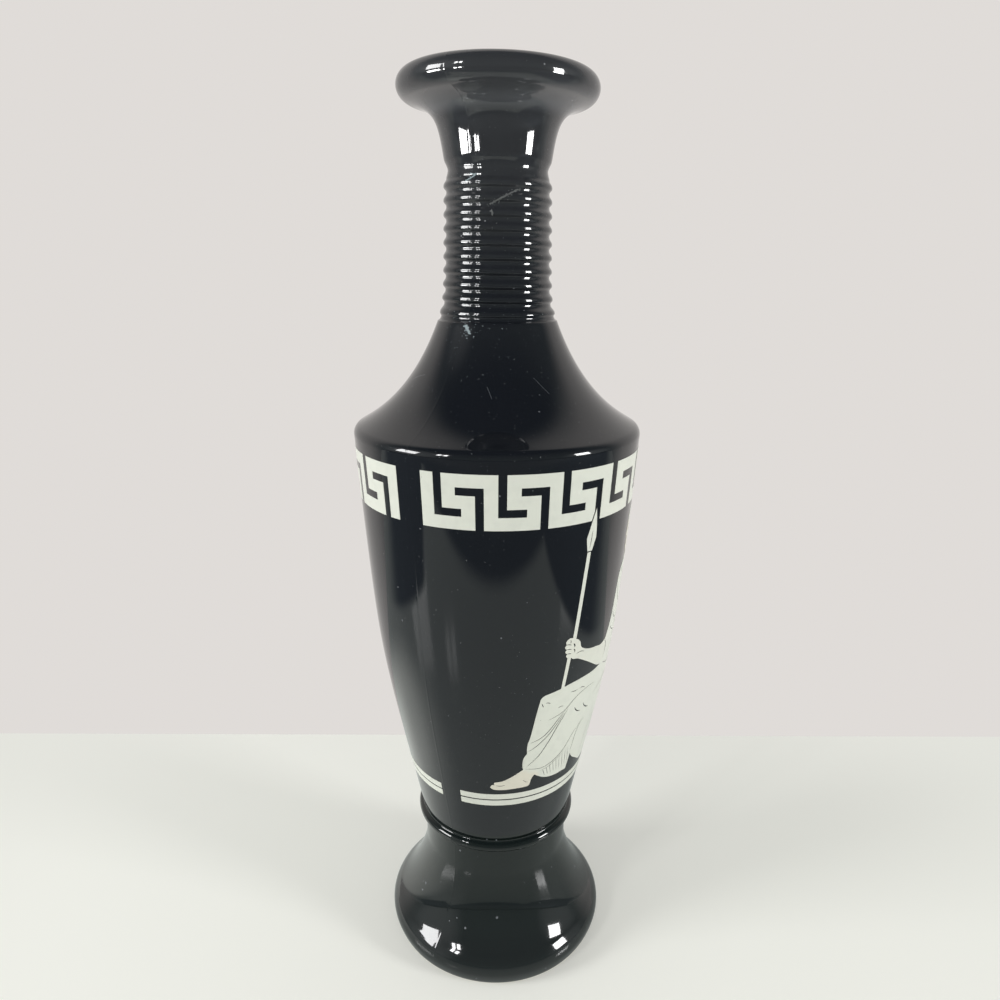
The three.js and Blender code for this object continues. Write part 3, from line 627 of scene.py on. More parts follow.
def key_boxes():
    """One loop for each unbroken run of ink in a row, as (left, right, bottom, top)."""
    turn = (PANEL_ARC - KEY_LINE) / KEY_TURNS
    hook = turn - 3 * KEY_LINE - 2 * KEY_SLOT
    across = np.cumsum([0, KEY_LINE, KEY_SLOT, KEY_LINE, hook, KEY_LINE, KEY_SLOT])
    up = KEY_BASE + np.cumsum([0, *KEY_ROWS])
    boxes = [(KEY_TURNS * turn, PANEL_ARC, up[0], up[-1])]
    for row, ink in enumerate(KEY_INK):
        starts = [i for i, mark in enumerate(ink) if mark == "#" and (i == 0 or ink[i - 1] == ".")]
        ends = [i + 1 for i, mark in enumerate(ink) if mark == "#" and (i == 5 or ink[i + 1] == ".")]
        for start, end in zip(starts, ends):
            boxes += [(n * turn + across[start], n * turn + across[end], up[row], up[row + 1]) for n in range(KEY_TURNS)]
    return [np.array([(l, b), (r, b), (r, t), (l, t)]) for l, r, b, t in boxes]


def lifted(points, base=STRIPE_TOP):
    return np.asarray(points, float) + np.array([0, base])


def widened(loop, by):
    """The loop with each point moved away from the middle of the loop's narrow width."""
    flat = np.asarray(loop) * np.array([DEGREE, 1.0])
    along = np.roll(flat, -1, axis=0) - np.roll(flat, 1, axis=0)
    along /= np.linalg.norm(along, axis=1)[:, None]
    out = np.stack([-along[:, 1], along[:, 0]], 1) * by
    return (flat + out) / np.array([DEGREE, 1.0])


spear_head = lifted(drawn(SPEAR_HEAD))
halo = widened(spear_head, 0.5)
key_flat, key_triangles = fill(key_boxes(), [halo])
print("key:", len(key_triangles), "triangles")

# %% The figure, filled
figure_loops = [lifted(drawn(FIGURE)), spear_head, lifted(SHAFT_ABOVE), lifted(SHAFT_BELOW)]
figure_cuts = [lifted(stroke(width, run)) for width, run in figure_lines]
figure_flat, figure_triangles = fill(figure_loops, figure_cuts)
print("figure:", len(figure_triangles), "triangles")

# %% The stripes, filled
STRIPE_START, STRIPE_ARC = -21.75 - PANEL_START, 166.5
STRIPES = {"upper_stripe": (78.85, 81.4), "lower_stripe": (75.7, 78.25)}


def stripe_grid(low, high, columns=140):
    """Three rows of points, with two triangles in each cell."""
    angle, height = np.meshgrid(np.linspace(STRIPE_START, STRIPE_START + STRIPE_ARC, columns + 1), np.linspace(low, high, 3))
    flat = np.stack([angle.ravel(), height.ravel()], 1)
    cell = (np.arange(2)[:, None] * (columns + 1) + np.arange(columns)[None]).ravel()
    above = cell + columns + 1
    lower = np.stack([cell, cell + 1, above + 1], 1)
    upper = np.stack([cell, above + 1, above], 1)
    return flat, np.vstack([lower, upper])


# %% Put the prints on both halves
prints = {"key": [], "figure": [], "stripe": []}
for panel, side in enumerate(["front", "back"]):
    mesh = print_mesh(f"key_print_{side}", key_flat, key_triangles, panel)
    prints["key"].append(place(mesh, "decanter", [f"key_band_{side}"]))
    mesh = print_mesh(f"figure_print_{side}", figure_flat, figure_triangles, panel)
    prints["figure"].append(place(mesh, "decanter", [f"figure_{side}"]))
    for stripe, (low, high) in STRIPES.items():
        mesh = print_mesh(f"{stripe}_print_{side}", *stripe_grid(low, high), panel)
        prints["stripe"].append(place(mesh, "decanter", [f"{stripe}_{side}"]))

# %% [markdown]
# ## Skin and cloth
# The transfer has two inks: a greenish white for the cloth, the key and the stripes, and a
# slightly warmer one for the skin. The figure's mesh keeps how much of the warm ink each
# point has, as an attribute that its material reads.

# %% Mark the skin
def skin_share(flat):
    """1 on the foot and the face and 0.2 on the forearm, falling to 0 over a degree or a millimetre."""
    degrees, rise = flat[:, 0], flat[:, 1] - STRIPE_TOP
    foot_skin = np.clip(11.4 - rise - (degrees - 43).clip(0) * 0.3, 0, 1) * np.clip(53 - degrees, 0, 1)
    arm_skin = np.clip(rise - 47.2, 0, 1) * np.clip(89.5 - degrees, 0, 1) * np.clip(67 - rise, 0, 1)
    face_skin = np.clip(rise - 85, 0, 1) * np.clip(106 - degrees, 0, 1) * np.clip(99 - rise, 0, 1) * (degrees > 98)
    return np.maximum(np.maximum(foot_skin, 0.2 * arm_skin), face_skin)


for piece in prints["figure"]:
    warm = piece.data.attributes.new("warm_ink", "FLOAT", "POINT")
    warm.data.foreach_set("value", np.tile(skin_share(figure_flat), 2).astype(np.float32))

# %% [markdown]
# ## Effects that several materials share
# Small marks make a plain finish believable: dust and pinholes, fine scratches, and a
# surface that is never quite flat. Each effect is a node group with named inputs, built
# once, so that the glaze, the ink and the cork can each use it with their own values. All
# of them read Object coordinates, which are metres on the decanter itself, so a mark stays
# where it is when the decanter is seen from the other side.

# %% A helper that wires nodes
def wire(tree, kind, settings=None, **inputs):
    """Adds a node, sets its properties, and links or sets each input by its name."""
    node = tree.nodes.new(kind)
    for key, value in (settings or {}).items():
        setattr(node, key, value)
    for key, value in inputs.items():
        socket = node.inputs[int(key[1:])] if key[0] == "i" and key[1:].isdigit() else node.inputs[key.replace("_", " ")]
        if isinstance(value, bpy.types.NodeSocket):
            tree.links.new(value, socket)
        else:
            socket.default_value = value
    return node


def new_group(name, inputs, outputs):
    """An empty node group with named sockets, and its two end nodes."""
    tree = bpy.data.node_groups.new(name, "ShaderNodeTree")
    for socket, value in inputs.items():
        made = tree.interface.new_socket(socket, in_out="INPUT", socket_type="NodeSocketFloat")
        made.default_value = value
    for socket in outputs:
        tree.interface.new_socket(socket, in_out="OUTPUT", socket_type="NodeSocketFloat")
    return tree, tree.nodes.new("NodeGroupInput"), tree.nodes.new("NodeGroupOutput")


def object_place(tree):
    return tree.nodes.new("ShaderNodeTexCoord").outputs["Object"]


# %% The effect of specks
def specks_group():
    """1 inside small spots: a random point in each cell, and a spot where the distance to
    it is under a size that changes from cell to cell."""
    tree, given, result = new_group("specks", {"Scale": 400, "Size": 0.1, "Share": 0.5}, ["Mask"])
    cells = wire(tree, "ShaderNodeTexVoronoi", Vector=object_place(tree), Scale=given.outputs["Scale"])
    chance = wire(tree, "ShaderNodeSeparateColor", Color=cells.outputs["Color"])
    chosen = wire(tree, "ShaderNodeMath", {"operation": "LESS_THAN"}, i0=chance.outputs[0], i1=given.outputs["Share"])
    size = wire(tree, "ShaderNodeMath", {"operation": "MULTIPLY"}, i0=given.outputs["Size"], i1=chance.outputs[1])
    edge_of = wire(tree, "ShaderNodeMath", {"operation": "MULTIPLY"}, i0=size.outputs[0], i1=0.6)
    spot = wire(tree, "ShaderNodeMapRange", {"interpolation_type": "SMOOTHSTEP"}, Value=cells.outputs["Distance"], i1=edge_of.outputs[0], i2=size.outputs[0], i3=1.0, i4=0.0)
    mask = wire(tree, "ShaderNodeMath", {"operation": "MULTIPLY"}, i0=spot.outputs[0], i1=chosen.outputs[0])
    tree.links.new(mask.outputs[0], result.inputs["Mask"])
    return tree


# %% The effect of scratches
def scratches_group():
    """1 on short straight lines. Each cell has a random point and a random direction, and the
    line is where (place - point) . direction is nearly 0 and the point is not too far away."""
    tree, given, result = new_group("scratches", {"Scale": 60, "Width": 0.004, "Length": 0.5, "Share": 0.3}, ["Mask"])
    place_of = object_place(tree)
    cells = wire(tree, "ShaderNodeTexVoronoi", Vector=place_of, Scale=given.outputs["Scale"])
    chance = wire(tree, "ShaderNodeSeparateColor", Color=cells.outputs["Color"])
    offset = wire(tree, "ShaderNodeVectorMath", {"operation": "SUBTRACT"}, i0=place_of, i1=cells.outputs["Position"])
    local = wire(tree, "ShaderNodeVectorMath", {"operation": "SCALE"}, i0=offset.outputs[0], Scale=given.outputs["Scale"])
    centred = wire(tree, "ShaderNodeVectorMath", {"operation": "SUBTRACT"}, i0=cells.outputs["Color"], i1=(0.5, 0.5, 0.5))
    random_way = wire(tree, "ShaderNodeVectorMath", {"operation": "NORMALIZE"}, i0=centred.outputs[0])
    aside = wire(tree, "ShaderNodeVectorMath", {"operation": "DOT_PRODUCT"}, i0=local.outputs[0], i1=random_way.outputs[0])
    distance = wire(tree, "ShaderNodeMath", {"operation": "ABSOLUTE"}, i0=aside.outputs["Value"])
    line = wire(tree, "ShaderNodeMapRange", {"interpolation_type": "SMOOTHSTEP"}, Value=distance.outputs[0], i1=0.0, i2=given.outputs["Width"], i3=1.0, i4=0.0)
    near = wire(tree, "ShaderNodeMath", {"operation": "LESS_THAN"}, i0=cells.outputs["Distance"], i1=given.outputs["Length"])
    chosen = wire(tree, "ShaderNodeMath", {"operation": "LESS_THAN"}, i0=chance.outputs[0], i1=given.outputs["Share"])
    both = wire(tree, "ShaderNodeMath", {"operation": "MULTIPLY"}, i0=near.outputs[0], i1=chosen.outputs[0])
    mask = wire(tree, "ShaderNodeMath", {"operation": "MULTIPLY"}, i0=line.outputs[0], i1=both.outputs[0])
    tree.links.new(mask.outputs[0], result.inputs["Mask"])
    return tree


# %% The effect of an uneven surface
def waves_group():
    """Height in parts of one: a slow noise plus a share of a fine one."""
    tree, given, result = new_group("waves", {"Slow Scale": 70, "Fine Scale": 900, "Fine Share": 0.1}, ["Height"])
    place_of = object_place(tree)
    slow = wire(tree, "ShaderNodeTexNoise", Vector=place_of, Scale=given.outputs["Slow Scale"], Detail=1.0)
    fine = wire(tree, "ShaderNodeTexNoise", Vector=place_of, Scale=given.outputs["Fine Scale"], Detail=2.0)
    share = wire(tree, "ShaderNodeMath", {"operation": "MULTIPLY"}, i0=fine.outputs["Fac"], i1=given.outputs["Fine Share"])
    height = wire(tree, "ShaderNodeMath", {"operation": "ADD"}, i0=slow.outputs["Fac"], i1=share.outputs[0])
    tree.links.new(height.outputs[0], result.inputs["Height"])
    return tree


SPECKS, SCRATCHES, WAVES = specks_group(), scratches_group(), waves_group()
print("node groups:", [group.name for group in (SPECKS, SCRATCHES, WAVES)])

# %% Helpers for the materials
def new_material(name):
    material = bpy.data.materials.new(name)
    material.use_nodes = True
    tree = material.node_tree
    return material, tree, tree.nodes["Principled BSDF"]


def use(tree, group, **values):
    """Places a node group in a material, with the material's own values."""
    node = wire(tree, "ShaderNodeGroup", {"node_tree": group})
    for key, value in values.items():
        node.inputs[key.replace("_", " ")].default_value = value
    return node.outputs[0]


def times(tree, value, factor):
    return wire(tree, "ShaderNodeMath", {"operation": "MULTIPLY"}, i0=value, i1=factor).outputs[0]


def plus(tree, first, second):
    return wire(tree, "ShaderNodeMath", {"operation": "ADD"}, i0=first, i1=second).outputs[0]


def most(tree, first, second):
    return wire(tree, "ShaderNodeMath", {"operation": "MAXIMUM"}, i0=first, i1=second).outputs[0]


def blend_colours(tree, share, first, second):
    """The first colour where the share is 0, the second where it is 1."""
    mix = tree.nodes.new("ShaderNodeMix")
    mix.data_type = "RGBA"
    for socket, value in ((mix.inputs["Factor"], share), (mix.inputs[6], first), (mix.inputs[7], second)):
        if isinstance(value, bpy.types.NodeSocket):
            tree.links.new(value, socket)
        else:
            socket.default_value = value if isinstance(value, (int, float)) else (*value, 1)
    return mix.outputs[2]


def past(tree, value, start, end):
    """0 before the start, 1 past the end, and a smooth step between them."""
    return wire(tree, "ShaderNodeMapRange", {"interpolation_type": "SMOOTHSTEP"}, Value=value, i1=start, i2=end, i3=0.0, i4=1.0).outputs[0]


def bump(tree, shader, height, distance_mm):
    node = wire(tree, "ShaderNodeBump", Height=height, Distance=distance_mm * MM, Strength=1.0)
    tree.links.new(node.outputs["Normal"], shader.inputs["Normal"])


# %% [markdown]
# ## The black glaze
# The glaze is glass over black, so its colour is nearly nothing and its look is all
# reflection: a low roughness, and a surface that waves by a few hundredths of a millimetre.
# Years on a shelf have left dust, pinholes and fine scratches. Where the halves of the mould
# met, a low seam runs up the castings. It lies in the upright plane whose distance from a
# point is x cos angle + y sin angle. The neck was joined on a few degrees turned, so its seam
# does not meet the seam of the body.

# %% The black glaze
SEAM_DEG = {"body": -33.4, "neck": -27.8}
BLACK = (0.0062, 0.0076, 0.0102)
# The foot's black is greener than the body's: a painted reflection of the greenish table that the foot mirrors.
FOOT_BLACK_WITH_PAINTED_TABLE_TINT = (0.0052, 0.0086, 0.0078)
DUST = (0.14, 0.15, 0.165)
# Partly dust and partly painted light: a pale film that lifts the black towards the lip and the foot's rim.
DUST_AND_PAINTED_LIGHT_FILM = (0.05, 0.052, 0.056)
# Painted light: the paler colour on the underside of the lip.
PAINTED_UNDER_LIP_LIGHT = (0.095, 0.1, 0.11)
CHIP = (0.3, 0.36, 0.38)
SCUFF = (0.12, 0.125, 0.125)
MARKS = [
    (CHIP, 0.00034, (-0.0109, 0.2474), (-0.0098, 0.2477)),
    (CHIP, 0.0006, (-0.0101, 0.2472), (-0.0091, 0.2455)),
    (CHIP, 0.00028, (-0.0098, 0.2915), (-0.0068, 0.2932)),
    (CHIP, 0.00028, (-0.0085, 0.2935), (-0.0068, 0.2932)),
    (SCUFF, 0.00034, (-0.0021, 0.2847), (0.0061, 0.2888)),
    (SCUFF, 0.00026, (-0.0019, 0.2829), (-0.0017, 0.2813)),
]
CLAY = (0.6, 0.53, 0.43)


def seam_height(tree, angle_deg):
    """1 on the seam of the mould, falling to 0 at 0.5 mm from it."""
    axes = wire(tree, "ShaderNodeSeparateXYZ", Vector=object_place(tree))
    angle = math.radians(angle_deg)
    aside = plus(tree, times(tree, axes.outputs[0], math.cos(angle)), times(tree, axes.outputs[1], math.sin(angle)))
    distance = wire(tree, "ShaderNodeMath", {"operation": "ABSOLUTE"}, i0=aside).outputs[0]
    return wire(tree, "ShaderNodeMapRange", {"interpolation_type": "SMOOTHSTEP"}, Value=distance, i1=0.0, i2=0.5 * MM, i3=1.0, i4=0.0).outputs[0]


def mark_mask(tree, place_of, start, end, reach):
    """1 near the line from start to end, as seen from the front, and ragged by a fine noise.
    The nearest place on the line is start + t (end - start), where t is (place - start) .
    (end - start) / length^2, kept between 0 and 1."""
    first, last = Vector((start[0], 0, start[1])), Vector((end[0], 0, end[1]))
    along = last - first
    flat = wire(tree, "ShaderNodeVectorMath", {"operation": "MULTIPLY"}, i0=place_of, i1=(1, 0, 1)).outputs[0]
    offset = wire(tree, "ShaderNodeVectorMath", {"operation": "SUBTRACT"}, i0=flat, i1=first).outputs[0]
    dot = wire(tree, "ShaderNodeVectorMath", {"operation": "DOT_PRODUCT"}, i0=offset, i1=along / along.length_squared)
    share = wire(tree, "ShaderNodeMath", {"operation": "MULTIPLY", "use_clamp": True}, i0=dot.outputs["Value"], i1=1.0)
    nearest = wire(tree, "ShaderNodeVectorMath", {"operation": "SCALE"}, i0=along, Scale=share.outputs[0]).outputs[0]
    distance = wire(tree, "ShaderNodeVectorMath", {"operation": "DISTANCE"}, i0=offset, i1=nearest).outputs["Value"]
    noise = wire(tree, "ShaderNodeTexNoise", Vector=place_of, Scale=1500.0, Detail=2.0).outputs["Fac"]
    uneven = times(tree, distance, plus(tree, times(tree, noise, 4.0), -1.0))
    front_only = past(tree, wire(tree, "ShaderNodeSeparateXYZ", Vector=place_of).outputs[1], 0.0, -0.002)
    return times(tree, past(tree, uneven, reach, 0.6 * reach), front_only)


def glaze_material(name, bare_ring, speck_share=0.45, speck_size=0.09, black=BLACK):
    """Colour: black, paler towards the lip and the foot's rim by a film that is partly dust and partly
    painted light, a painted light band under the lip, dust on the specks, clay on a bare ring.
    Roughness: low, more on scratches. Height: waves, a seam, and scratches that cut in."""
    material, tree, shader = new_material(name)
    specks = use(tree, SPECKS, Scale=240.0, Size=speck_size, Share=speck_share)
    scratches = use(tree, SCRATCHES, Scale=75.0, Width=0.008, Length=0.34, Share=0.07)
    marks = wire(tree, "ShaderNodeMath", {"operation": "MAXIMUM"}, i0=specks, i1=times(tree, scratches, 0.6)).outputs[0]
    place_of = object_place(tree)
    rise = wire(tree, "ShaderNodeSeparateXYZ", Vector=place_of).outputs[2]
    # Partly dust and partly painted light: the black grows paler towards the lip and towards the foot's rim.
    dust_and_painted_light_share = plus(tree, times(tree, past(tree, rise, 0.235, 0.325), 0.62), times(tree, past(tree, rise, 0.045, 0.004), 0.16))
    colour = blend_colours(tree, dust_and_painted_light_share, black, DUST_AND_PAINTED_LIGHT_FILM)
    # Painted light: a paler band on the underside of the lip, where light from the table falls.
    painted_under_lip_light_share = times(tree, past(tree, rise, 0.31, 0.3135), past(tree, rise, 0.3185, 0.314))
    colour = blend_colours(tree, painted_under_lip_light_share, colour, PAINTED_UNDER_LIP_LIGHT)
    colour = blend_colours(tree, marks, colour, DUST)
    rough = plus(tree, times(tree, marks, 0.4), 0.05)
    for mark, reach, start, end in [] if bare_ring else MARKS:
        colour = blend_colours(tree, mark_mask(tree, place_of, start, end, reach), colour, mark)
    if bare_ring:
        ring = wire(tree, "ShaderNodeMapRange", Value=rise, i1=0.25 * MM, i2=0.45 * MM, i3=1.0, i4=0.0).outputs[0]
        colour = blend_colours(tree, ring, colour, CLAY)
        rough = plus(tree, rough, times(tree, ring, 0.8))
    tree.links.new(colour, shader.inputs["Base Color"])
    tree.links.new(rough, shader.inputs["Roughness"])
    shader.inputs["IOR"].default_value = 1.54
    low_seam, neck_seam = seam_height(tree, SEAM_DEG["body"]), seam_height(tree, SEAM_DEG["neck"])
    on_neck = past(tree, rise, SHOULDER_TOP * MM, (SHOULDER_TOP + 0.3) * MM)
    seam = most(tree, times(tree, neck_seam, on_neck), times(tree, low_seam, plus(tree, times(tree, on_neck, -1.0), 1.0)))
    height = plus(tree, use(tree, WAVES, Slow_Scale=55.0, Fine_Scale=700.0, Fine_Share=0.04), times(tree, seam, 0.9))
    bump(tree, shader, plus(tree, height, times(tree, scratches, -0.25)), 0.03)
    return material


glaze = glaze_material("black_glaze", False)
foot_glaze = glaze_material("black_glaze_with_bare_ring", True, speck_share=0.9, speck_size=0.14, black=FOOT_BLACK_WITH_PAINTED_TABLE_TINT)
for piece in (body, neck, head):
    piece.data.materials.append(glaze)
foot.data.materials.append(foot_glaze)

# %% [markdown]
# ## The white enamel
# Fired enamel is flatter and duller than the glaze, and so thin in places that the black
# shows through it as pinholes. Its white is a little green, and the skin is a little warm.

# %% The white enamel
CLOTH_WHITE = (0.76, 0.785, 0.7)
SKIN_WHITE = (0.78, 0.752, 0.64)


def enamel_material(name, with_skin):
    """Colour: greenish white, warm where the attribute says so, greyer where the ink is
    thin, black in the pinholes."""
    material, tree, shader = new_material(name)
    colour = CLOTH_WHITE
    if with_skin:
        warm = wire(tree, "ShaderNodeAttribute", {"attribute_name": "warm_ink"})
        colour = blend_colours(tree, warm.outputs["Fac"], CLOTH_WHITE, SKIN_WHITE)
    cloud = wire(tree, "ShaderNodeTexNoise", Vector=object_place(tree), Scale=260.0, Detail=4.0)
    thin = wire(tree, "ShaderNodeMapRange", Value=cloud.outputs["Fac"], i1=0.5, i2=0.75, i3=0.0, i4=0.16)
    colour = blend_colours(tree, thin.outputs[0], colour, (0.5, 0.52, 0.48))
    pinholes = use(tree, SPECKS, Scale=520.0, Size=0.11, Share=0.1)
    colour = blend_colours(tree, times(tree, pinholes, 0.7), colour, BLACK)
    tree.links.new(colour, shader.inputs["Base Color"])
    rough = plus(tree, times(tree, cloud.outputs["Fac"], 0.16), 0.26)
    tree.links.new(rough, shader.inputs["Roughness"])
    height = plus(tree, use(tree, WAVES, Slow_Scale=300.0, Fine_Scale=1800.0, Fine_Share=0.5), times(tree, pinholes, -1.5))
    bump(tree, shader, height, 0.012)
    return material


enamel = enamel_material("white_enamel", False)
figure_enamel = enamel_material("white_enamel_with_skin", True)
for piece in prints["key"] + prints["stripe"]:
    piece.data.materials.append(enamel)
for piece in prints["figure"]:
    piece.data.materials.append(figure_enamel)

# %% [markdown]
# ## The cork
# Cork is warm brown, dull, and full of dark pores. Most of it is hidden in the bore, but it
# shows when the stopper is drawn.

# %% The cork
def cork_material():
    material, tree, shader = new_material("natural_cork")
    grain = wire(tree, "ShaderNodeTexNoise", Vector=object_place(tree), Scale=420.0, Detail=6.0)
    share = wire(tree, "ShaderNodeMapRange", Value=grain.outputs["Fac"], i1=0.35, i2=0.68)
    colour = blend_colours(tree, share.outputs[0], (0.62, 0.37, 0.17), (0.42, 0.22, 0.09))
    pores = use(tree, SPECKS, Scale=330.0, Size=0.3, Share=0.4)
    colour = blend_colours(tree, pores, colour, (0.09, 0.04, 0.02))
    tree.links.new(colour, shader.inputs["Base Color"])
    tree.links.new(plus(tree, times(tree, grain.outputs["Fac"], 0.2), 0.72), shader.inputs["Roughness"])
    height = plus(tree, use(tree, WAVES, Slow_Scale=240.0, Fine_Scale=1400.0, Fine_Share=0.6), times(tree, pores, -1.2))
    bump(tree, shader, height, 0.12)
    return material


cork.data.materials.append(cork_material())

# %% [markdown]
# ## The table
# A black gloss shows the room more than itself, so the set matters as much as the material.
# The decanter stands on a plain pale table. Its reflection fills the lower belly and ends
# where the table ends, some thirty centimetres in front of the decanter and a little less to
# its right. The camera sees one wide pale floor, and only reflections see where the table ends.

# %% The table
TABLE = (0.79, 0.795, 0.74)
ROOM_GAP = (0.12, 0.145, 0.17)
ROOM_FLOOR = (0.22, 0.245, 0.26)
TABLE_IN_GLAZE = (0.64, 0.69, 0.66)
POOL_CENTRE = (-0.135, 0.035, 0)
POOL_LIGHT = 0.8
CAMERA_LIFT = 0.225
FAR_TABLE = (0.02, 0.02, 0.019)
FAR_LIFT = 0.95


def off_the_table(tree, across, away):
    """1 past the front edge, the right edge or the left corner, which is cut off at a slant."""
    slanted = plus(tree, times(tree, across, 0.59), times(tree, away, -0.81))
    past_left = times(tree, past(tree, across, -0.28, -0.31), past(tree, slanted, -0.03, -0.06))
    ends = most(tree, past(tree, away, -0.3, -0.345), past(tree, across, 0.235, 0.26))
    return times(tree, most(tree, ends, past_left), past(tree, away, 0.12, 0.0))


def table_material():
    """Colour: pale, but where a reflection looks past the edges it is the floor of the room.
    Light of its own: a little for the camera, and a pool beside the foot in reflections. Far
    from the decanter the camera sees an even pale tone, so no lamp leaves a patch there."""
    material, tree, shader = new_material("pale_table")
    place_of = object_place(tree)
    axes = wire(tree, "ShaderNodeSeparateXYZ", Vector=place_of)
    path = wire(tree, "ShaderNodeLightPath")
    reflected = path.outputs["Is Glossy Ray"]
    off = times(tree, off_the_table(tree, axes.outputs[0], axes.outputs[1]), reflected)
    room_floor = blend_colours(tree, past(tree, axes.outputs[1], -0.36, -0.6), ROOM_GAP, ROOM_FLOOR)
    seen = path.outputs["Is Camera Ray"]
    away = wire(tree, "ShaderNodeVectorMath", {"operation": "LENGTH"}, i0=place_of).outputs["Value"]
    far = times(tree, past(tree, away, 0.17, 0.36), seen)
    colour = blend_colours(tree, far, blend_colours(tree, reflected, TABLE, TABLE_IN_GLAZE), FAR_TABLE)
    tree.links.new(blend_colours(tree, off, colour, room_floor), shader.inputs["Base Color"])
    rough = plus(tree, plus(tree, times(tree, off, 0.8), times(tree, reflected, -0.3)), 0.45)
    tree.links.new(rough, shader.inputs["Roughness"])
    tree.links.new(plus(tree, times(tree, far, -0.2), 0.2), shader.inputs["Specular IOR Level"])
    from_pool = wire(tree, "ShaderNodeVectorMath", {"operation": "DISTANCE"}, i0=place_of, i1=POOL_CENTRE).outputs["Value"]
    pool = times(tree, times(tree, past(tree, from_pool, 0.13, 0.03), reflected), POOL_LIGHT)
    lift = plus(tree, times(tree, seen, CAMERA_LIFT), times(tree, far, FAR_LIFT - CAMERA_LIFT))
    own = plus(tree, pool, lift)
    tree.links.new(blend_colours(tree, own, (0, 0, 0), TABLE), shader.inputs["Emission Color"])
    shader.inputs["Emission Strength"].default_value = 1.0
    return material


WALL_BEHIND = 0.123


def table_sheet(half_width=3.0, depth=3.0, height=-0.0001):
    """A flat sheet that ends at the wall behind the decanter."""
    mesh = bpy.data.meshes.new("table")
    x, near, far = half_width, WALL_BEHIND - depth, WALL_BEHIND
    mesh.from_pydata([(-x, near, height), (x, near, height), (x, far, height), (-x, far, height)], [], [(0, 1, 2, 3)])
    sheet = bpy.data.objects.new("table", mesh)
    bpy.context.scene.collection.objects.link(sheet)
    return sheet


table = table_sheet()
table.data.materials.append(table_material())

# %% [markdown]
# ## The room
# The camera sees a plain pale wall. Reflections see the same wall behind the decanter, and a
# dimmer room in front of it, with a soft glow round each window. The room is a function of
# direction alone, so it stays still when the camera moves. Above the wall it grows dark, as a
# ceiling out of the light does.

# %% The room
WALL_COLOUR = (0.745, 0.715, 0.69)
ROOM_LOW = (0.2, 0.235, 0.235)
ROOM_HIGH = (0.15, 0.17, 0.175)
CEILING_COLOUR = (0.055, 0.065, 0.08)
AMBIENT = 0.4


def toward(azimuth, elevation):
    """The direction (sin a cos e, -cos a cos e, sin e), where azimuth 0 is the front."""
    a, e = math.radians(azimuth), math.radians(elevation)
    return Vector((math.sin(a) * math.cos(e), -math.cos(a) * math.cos(e), math.sin(e)))


def glow(tree, direction, towards, inner, outer, level):
    """The level where the angle to the window is small, 0 where it is large."""
    close = wire(tree, "ShaderNodeVectorMath", {"operation": "DOT_PRODUCT"}, i0=direction, i1=towards).outputs["Value"]
    return times(tree, past(tree, close, math.cos(math.radians(outer)), math.cos(math.radians(inner))), level)


world = bpy.data.worlds.new("room")
bpy.context.scene.world = world
world.use_nodes = True
tree = world.node_tree
direction = tree.nodes.new("ShaderNodeTexCoord").outputs["Generated"]
axes = wire(tree, "ShaderNodeSeparateXYZ", Vector=direction)
front = blend_colours(tree, past(tree, axes.outputs[2], 0.1, 0.5), ROOM_LOW, ROOM_HIGH)
room = blend_colours(tree, past(tree, axes.outputs[1], 0.05, 0.5), front, WALL_COLOUR)
over_the_wall = plus(tree, axes.outputs[2], times(tree, most(tree, axes.outputs[1], 0.0), -1.0))
room = blend_colours(tree, past(tree, over_the_wall, 0.55, 0.9), room, CEILING_COLOUR)
windows = plus(tree, glow(tree, direction, toward(-70, 14), 6, 34, 0.4), glow(tree, direction, toward(74, 8), 4, 26, 0.3))
lit = wire(tree, "ShaderNodeVectorMath", {"operation": "ADD"}, i0=room, i1=windows).outputs[0]
path = wire(tree, "ShaderNodeLightPath")
seen = blend_colours(tree, path.outputs["Is Glossy Ray"], (AMBIENT,) * 3, lit)
seen = blend_colours(tree, path.outputs["Is Camera Ray"], seen, WALL_COLOUR)
tree.links.new(seen, tree.nodes["Background"].inputs["Color"])

# %% [markdown]
# ## The lamps
# Soft boxes stand for the windows: a wide one on the left, one with two panes nearer to the
# camera, and one on the right. Together they light the white enamel at a plain level. A row
# is azimuth, height, width, height of the box and watts. A real window is far brighter than
# white, so each box has a twin of its own size that only the gloss of the glaze mirrors. Under
# the windows are low bright strips, as of light on a sill. They lie below the edge of the
# table, which hides them from the foot and the body, so they are linked to the neck alone.

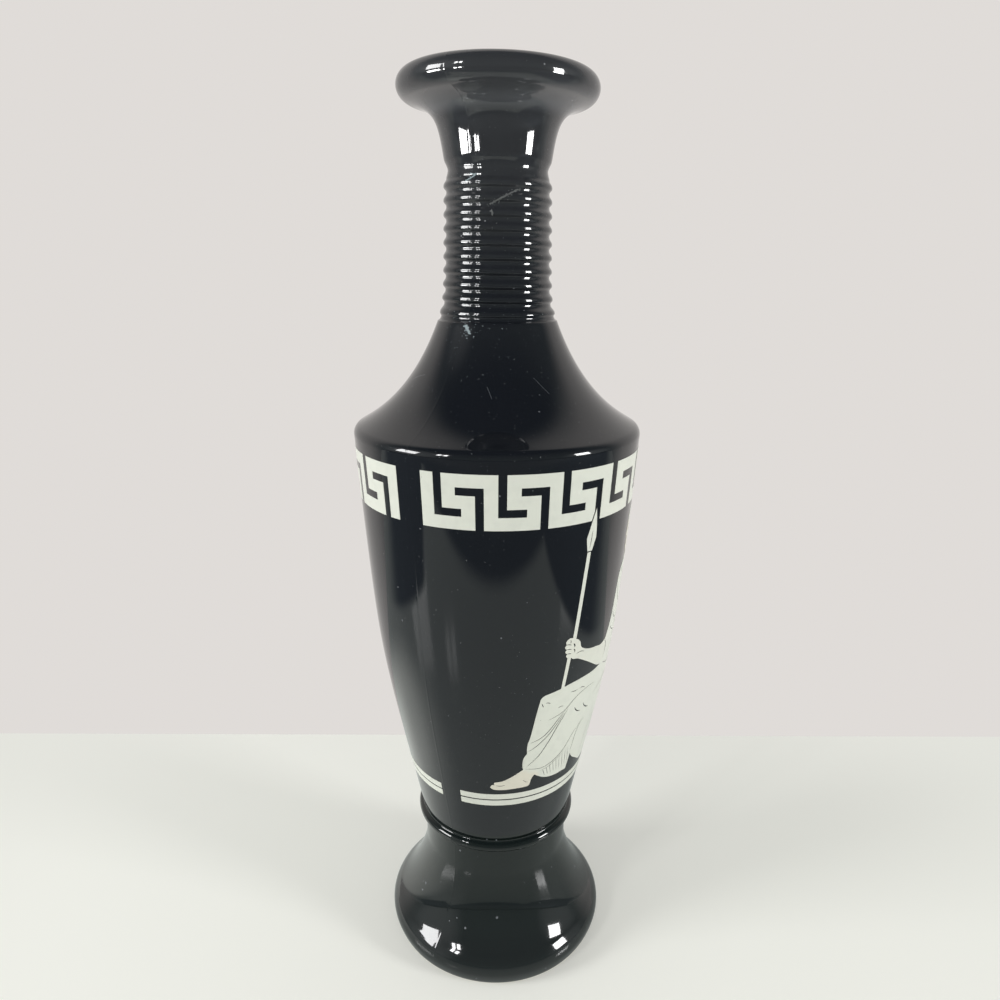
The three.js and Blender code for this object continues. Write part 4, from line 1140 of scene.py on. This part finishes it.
# %% The lamps
LAMP_DISTANCE = 1.2
WINDOWS = {
    "left_window": (-73, 0.62, 0.4, 0.44, 8.9),
    "middle_pane_left": (-46, 0.8, 0.07, 0.24, 1.6),
    "middle_pane_right": (-40.5, 0.8, 0.07, 0.24, 1.6),
    "right_window": (67, 0.44, 0.27, 0.34, 7.8),
}
SILLS = {
    "left_sill": (-73, 0.14, 0.36, 0.16, 9.0),
    "middle_sill_left": (-46, 0.13, 0.07, 0.12, 1.6),
    "middle_sill_right": (-40.5, 0.13, 0.07, 0.12, 1.6),
    "right_sill": (67, 0.13, 0.27, 0.15, 8.0),
}
MIRRORED_SHARE = 2.6


def lamp(name, azimuth, rise, width, height, watts):
    """A soft box at the lamp distance from the axis, upright and turned to the decanter."""
    light = bpy.data.lights.new(name, "AREA")
    light.shape, light.size, light.size_y, light.energy = "RECTANGLE", width, height, watts
    thing = bpy.data.objects.new(name, light)
    towards = toward(azimuth, 0)
    thing.location = towards * LAMP_DISTANCE + Vector((0, 0, rise))
    thing.rotation_euler = towards.to_track_quat("Z", "Y").to_euler()
    thing.visible_camera = False
    bpy.context.scene.collection.objects.link(thing)
    return thing


def only_mirrored_in(thing, pieces):
    """The lamp makes highlights on these pieces and lights nothing else."""
    thing.visible_diffuse = False
    lit = bpy.data.collections.new(f"lit_by_{thing.name}")
    for piece in pieces:
        lit.objects.link(piece)
    thing.light_linking.receiver_collection = lit


for name, (azimuth, rise, width, height, watts) in WINDOWS.items():
    lamp(name, azimuth, rise, width, height, watts)
    twin = lamp(f"{name}_mirrored", azimuth, rise, width, height, watts * MIRRORED_SHARE)
    only_mirrored_in(twin, (foot, body, neck, head))
for name, values in SILLS.items():
    only_mirrored_in(lamp(name, *values), (neck,))
print("lamps:", [*WINDOWS, *SILLS])

# %% [markdown]
# ## The camera
# The photograph was taken by hand from close by, a little below the height of the lip and
# tilted down, which is why the foot looks small and the lip looks seen from below. The lens
# and the tilt were worked out from the ellipses of the foot, the stripes and the lip.

# %% The camera
TILT_DOWN = 0.29261
ROLL = 0.0035
camera_data = bpy.data.cameras.new("camera")
camera_data.sensor_width = 36
camera_data.lens = 27.373
camera_data.shift_x = 0.0033
camera_data.clip_start = 0.01
camera = bpy.data.objects.new("camera", camera_data)
camera.location = (0, -0.2703, 0.2646)
tilt = Euler((math.pi / 2 - TILT_DOWN, 0, 0)).to_matrix()
camera.rotation_euler = (tilt @ Matrix.Rotation(ROLL, 3, "Z")).to_euler()
bpy.context.scene.collection.objects.link(camera)
bpy.context.scene.camera = camera
bpy.context.scene.view_settings.view_transform = "Standard"
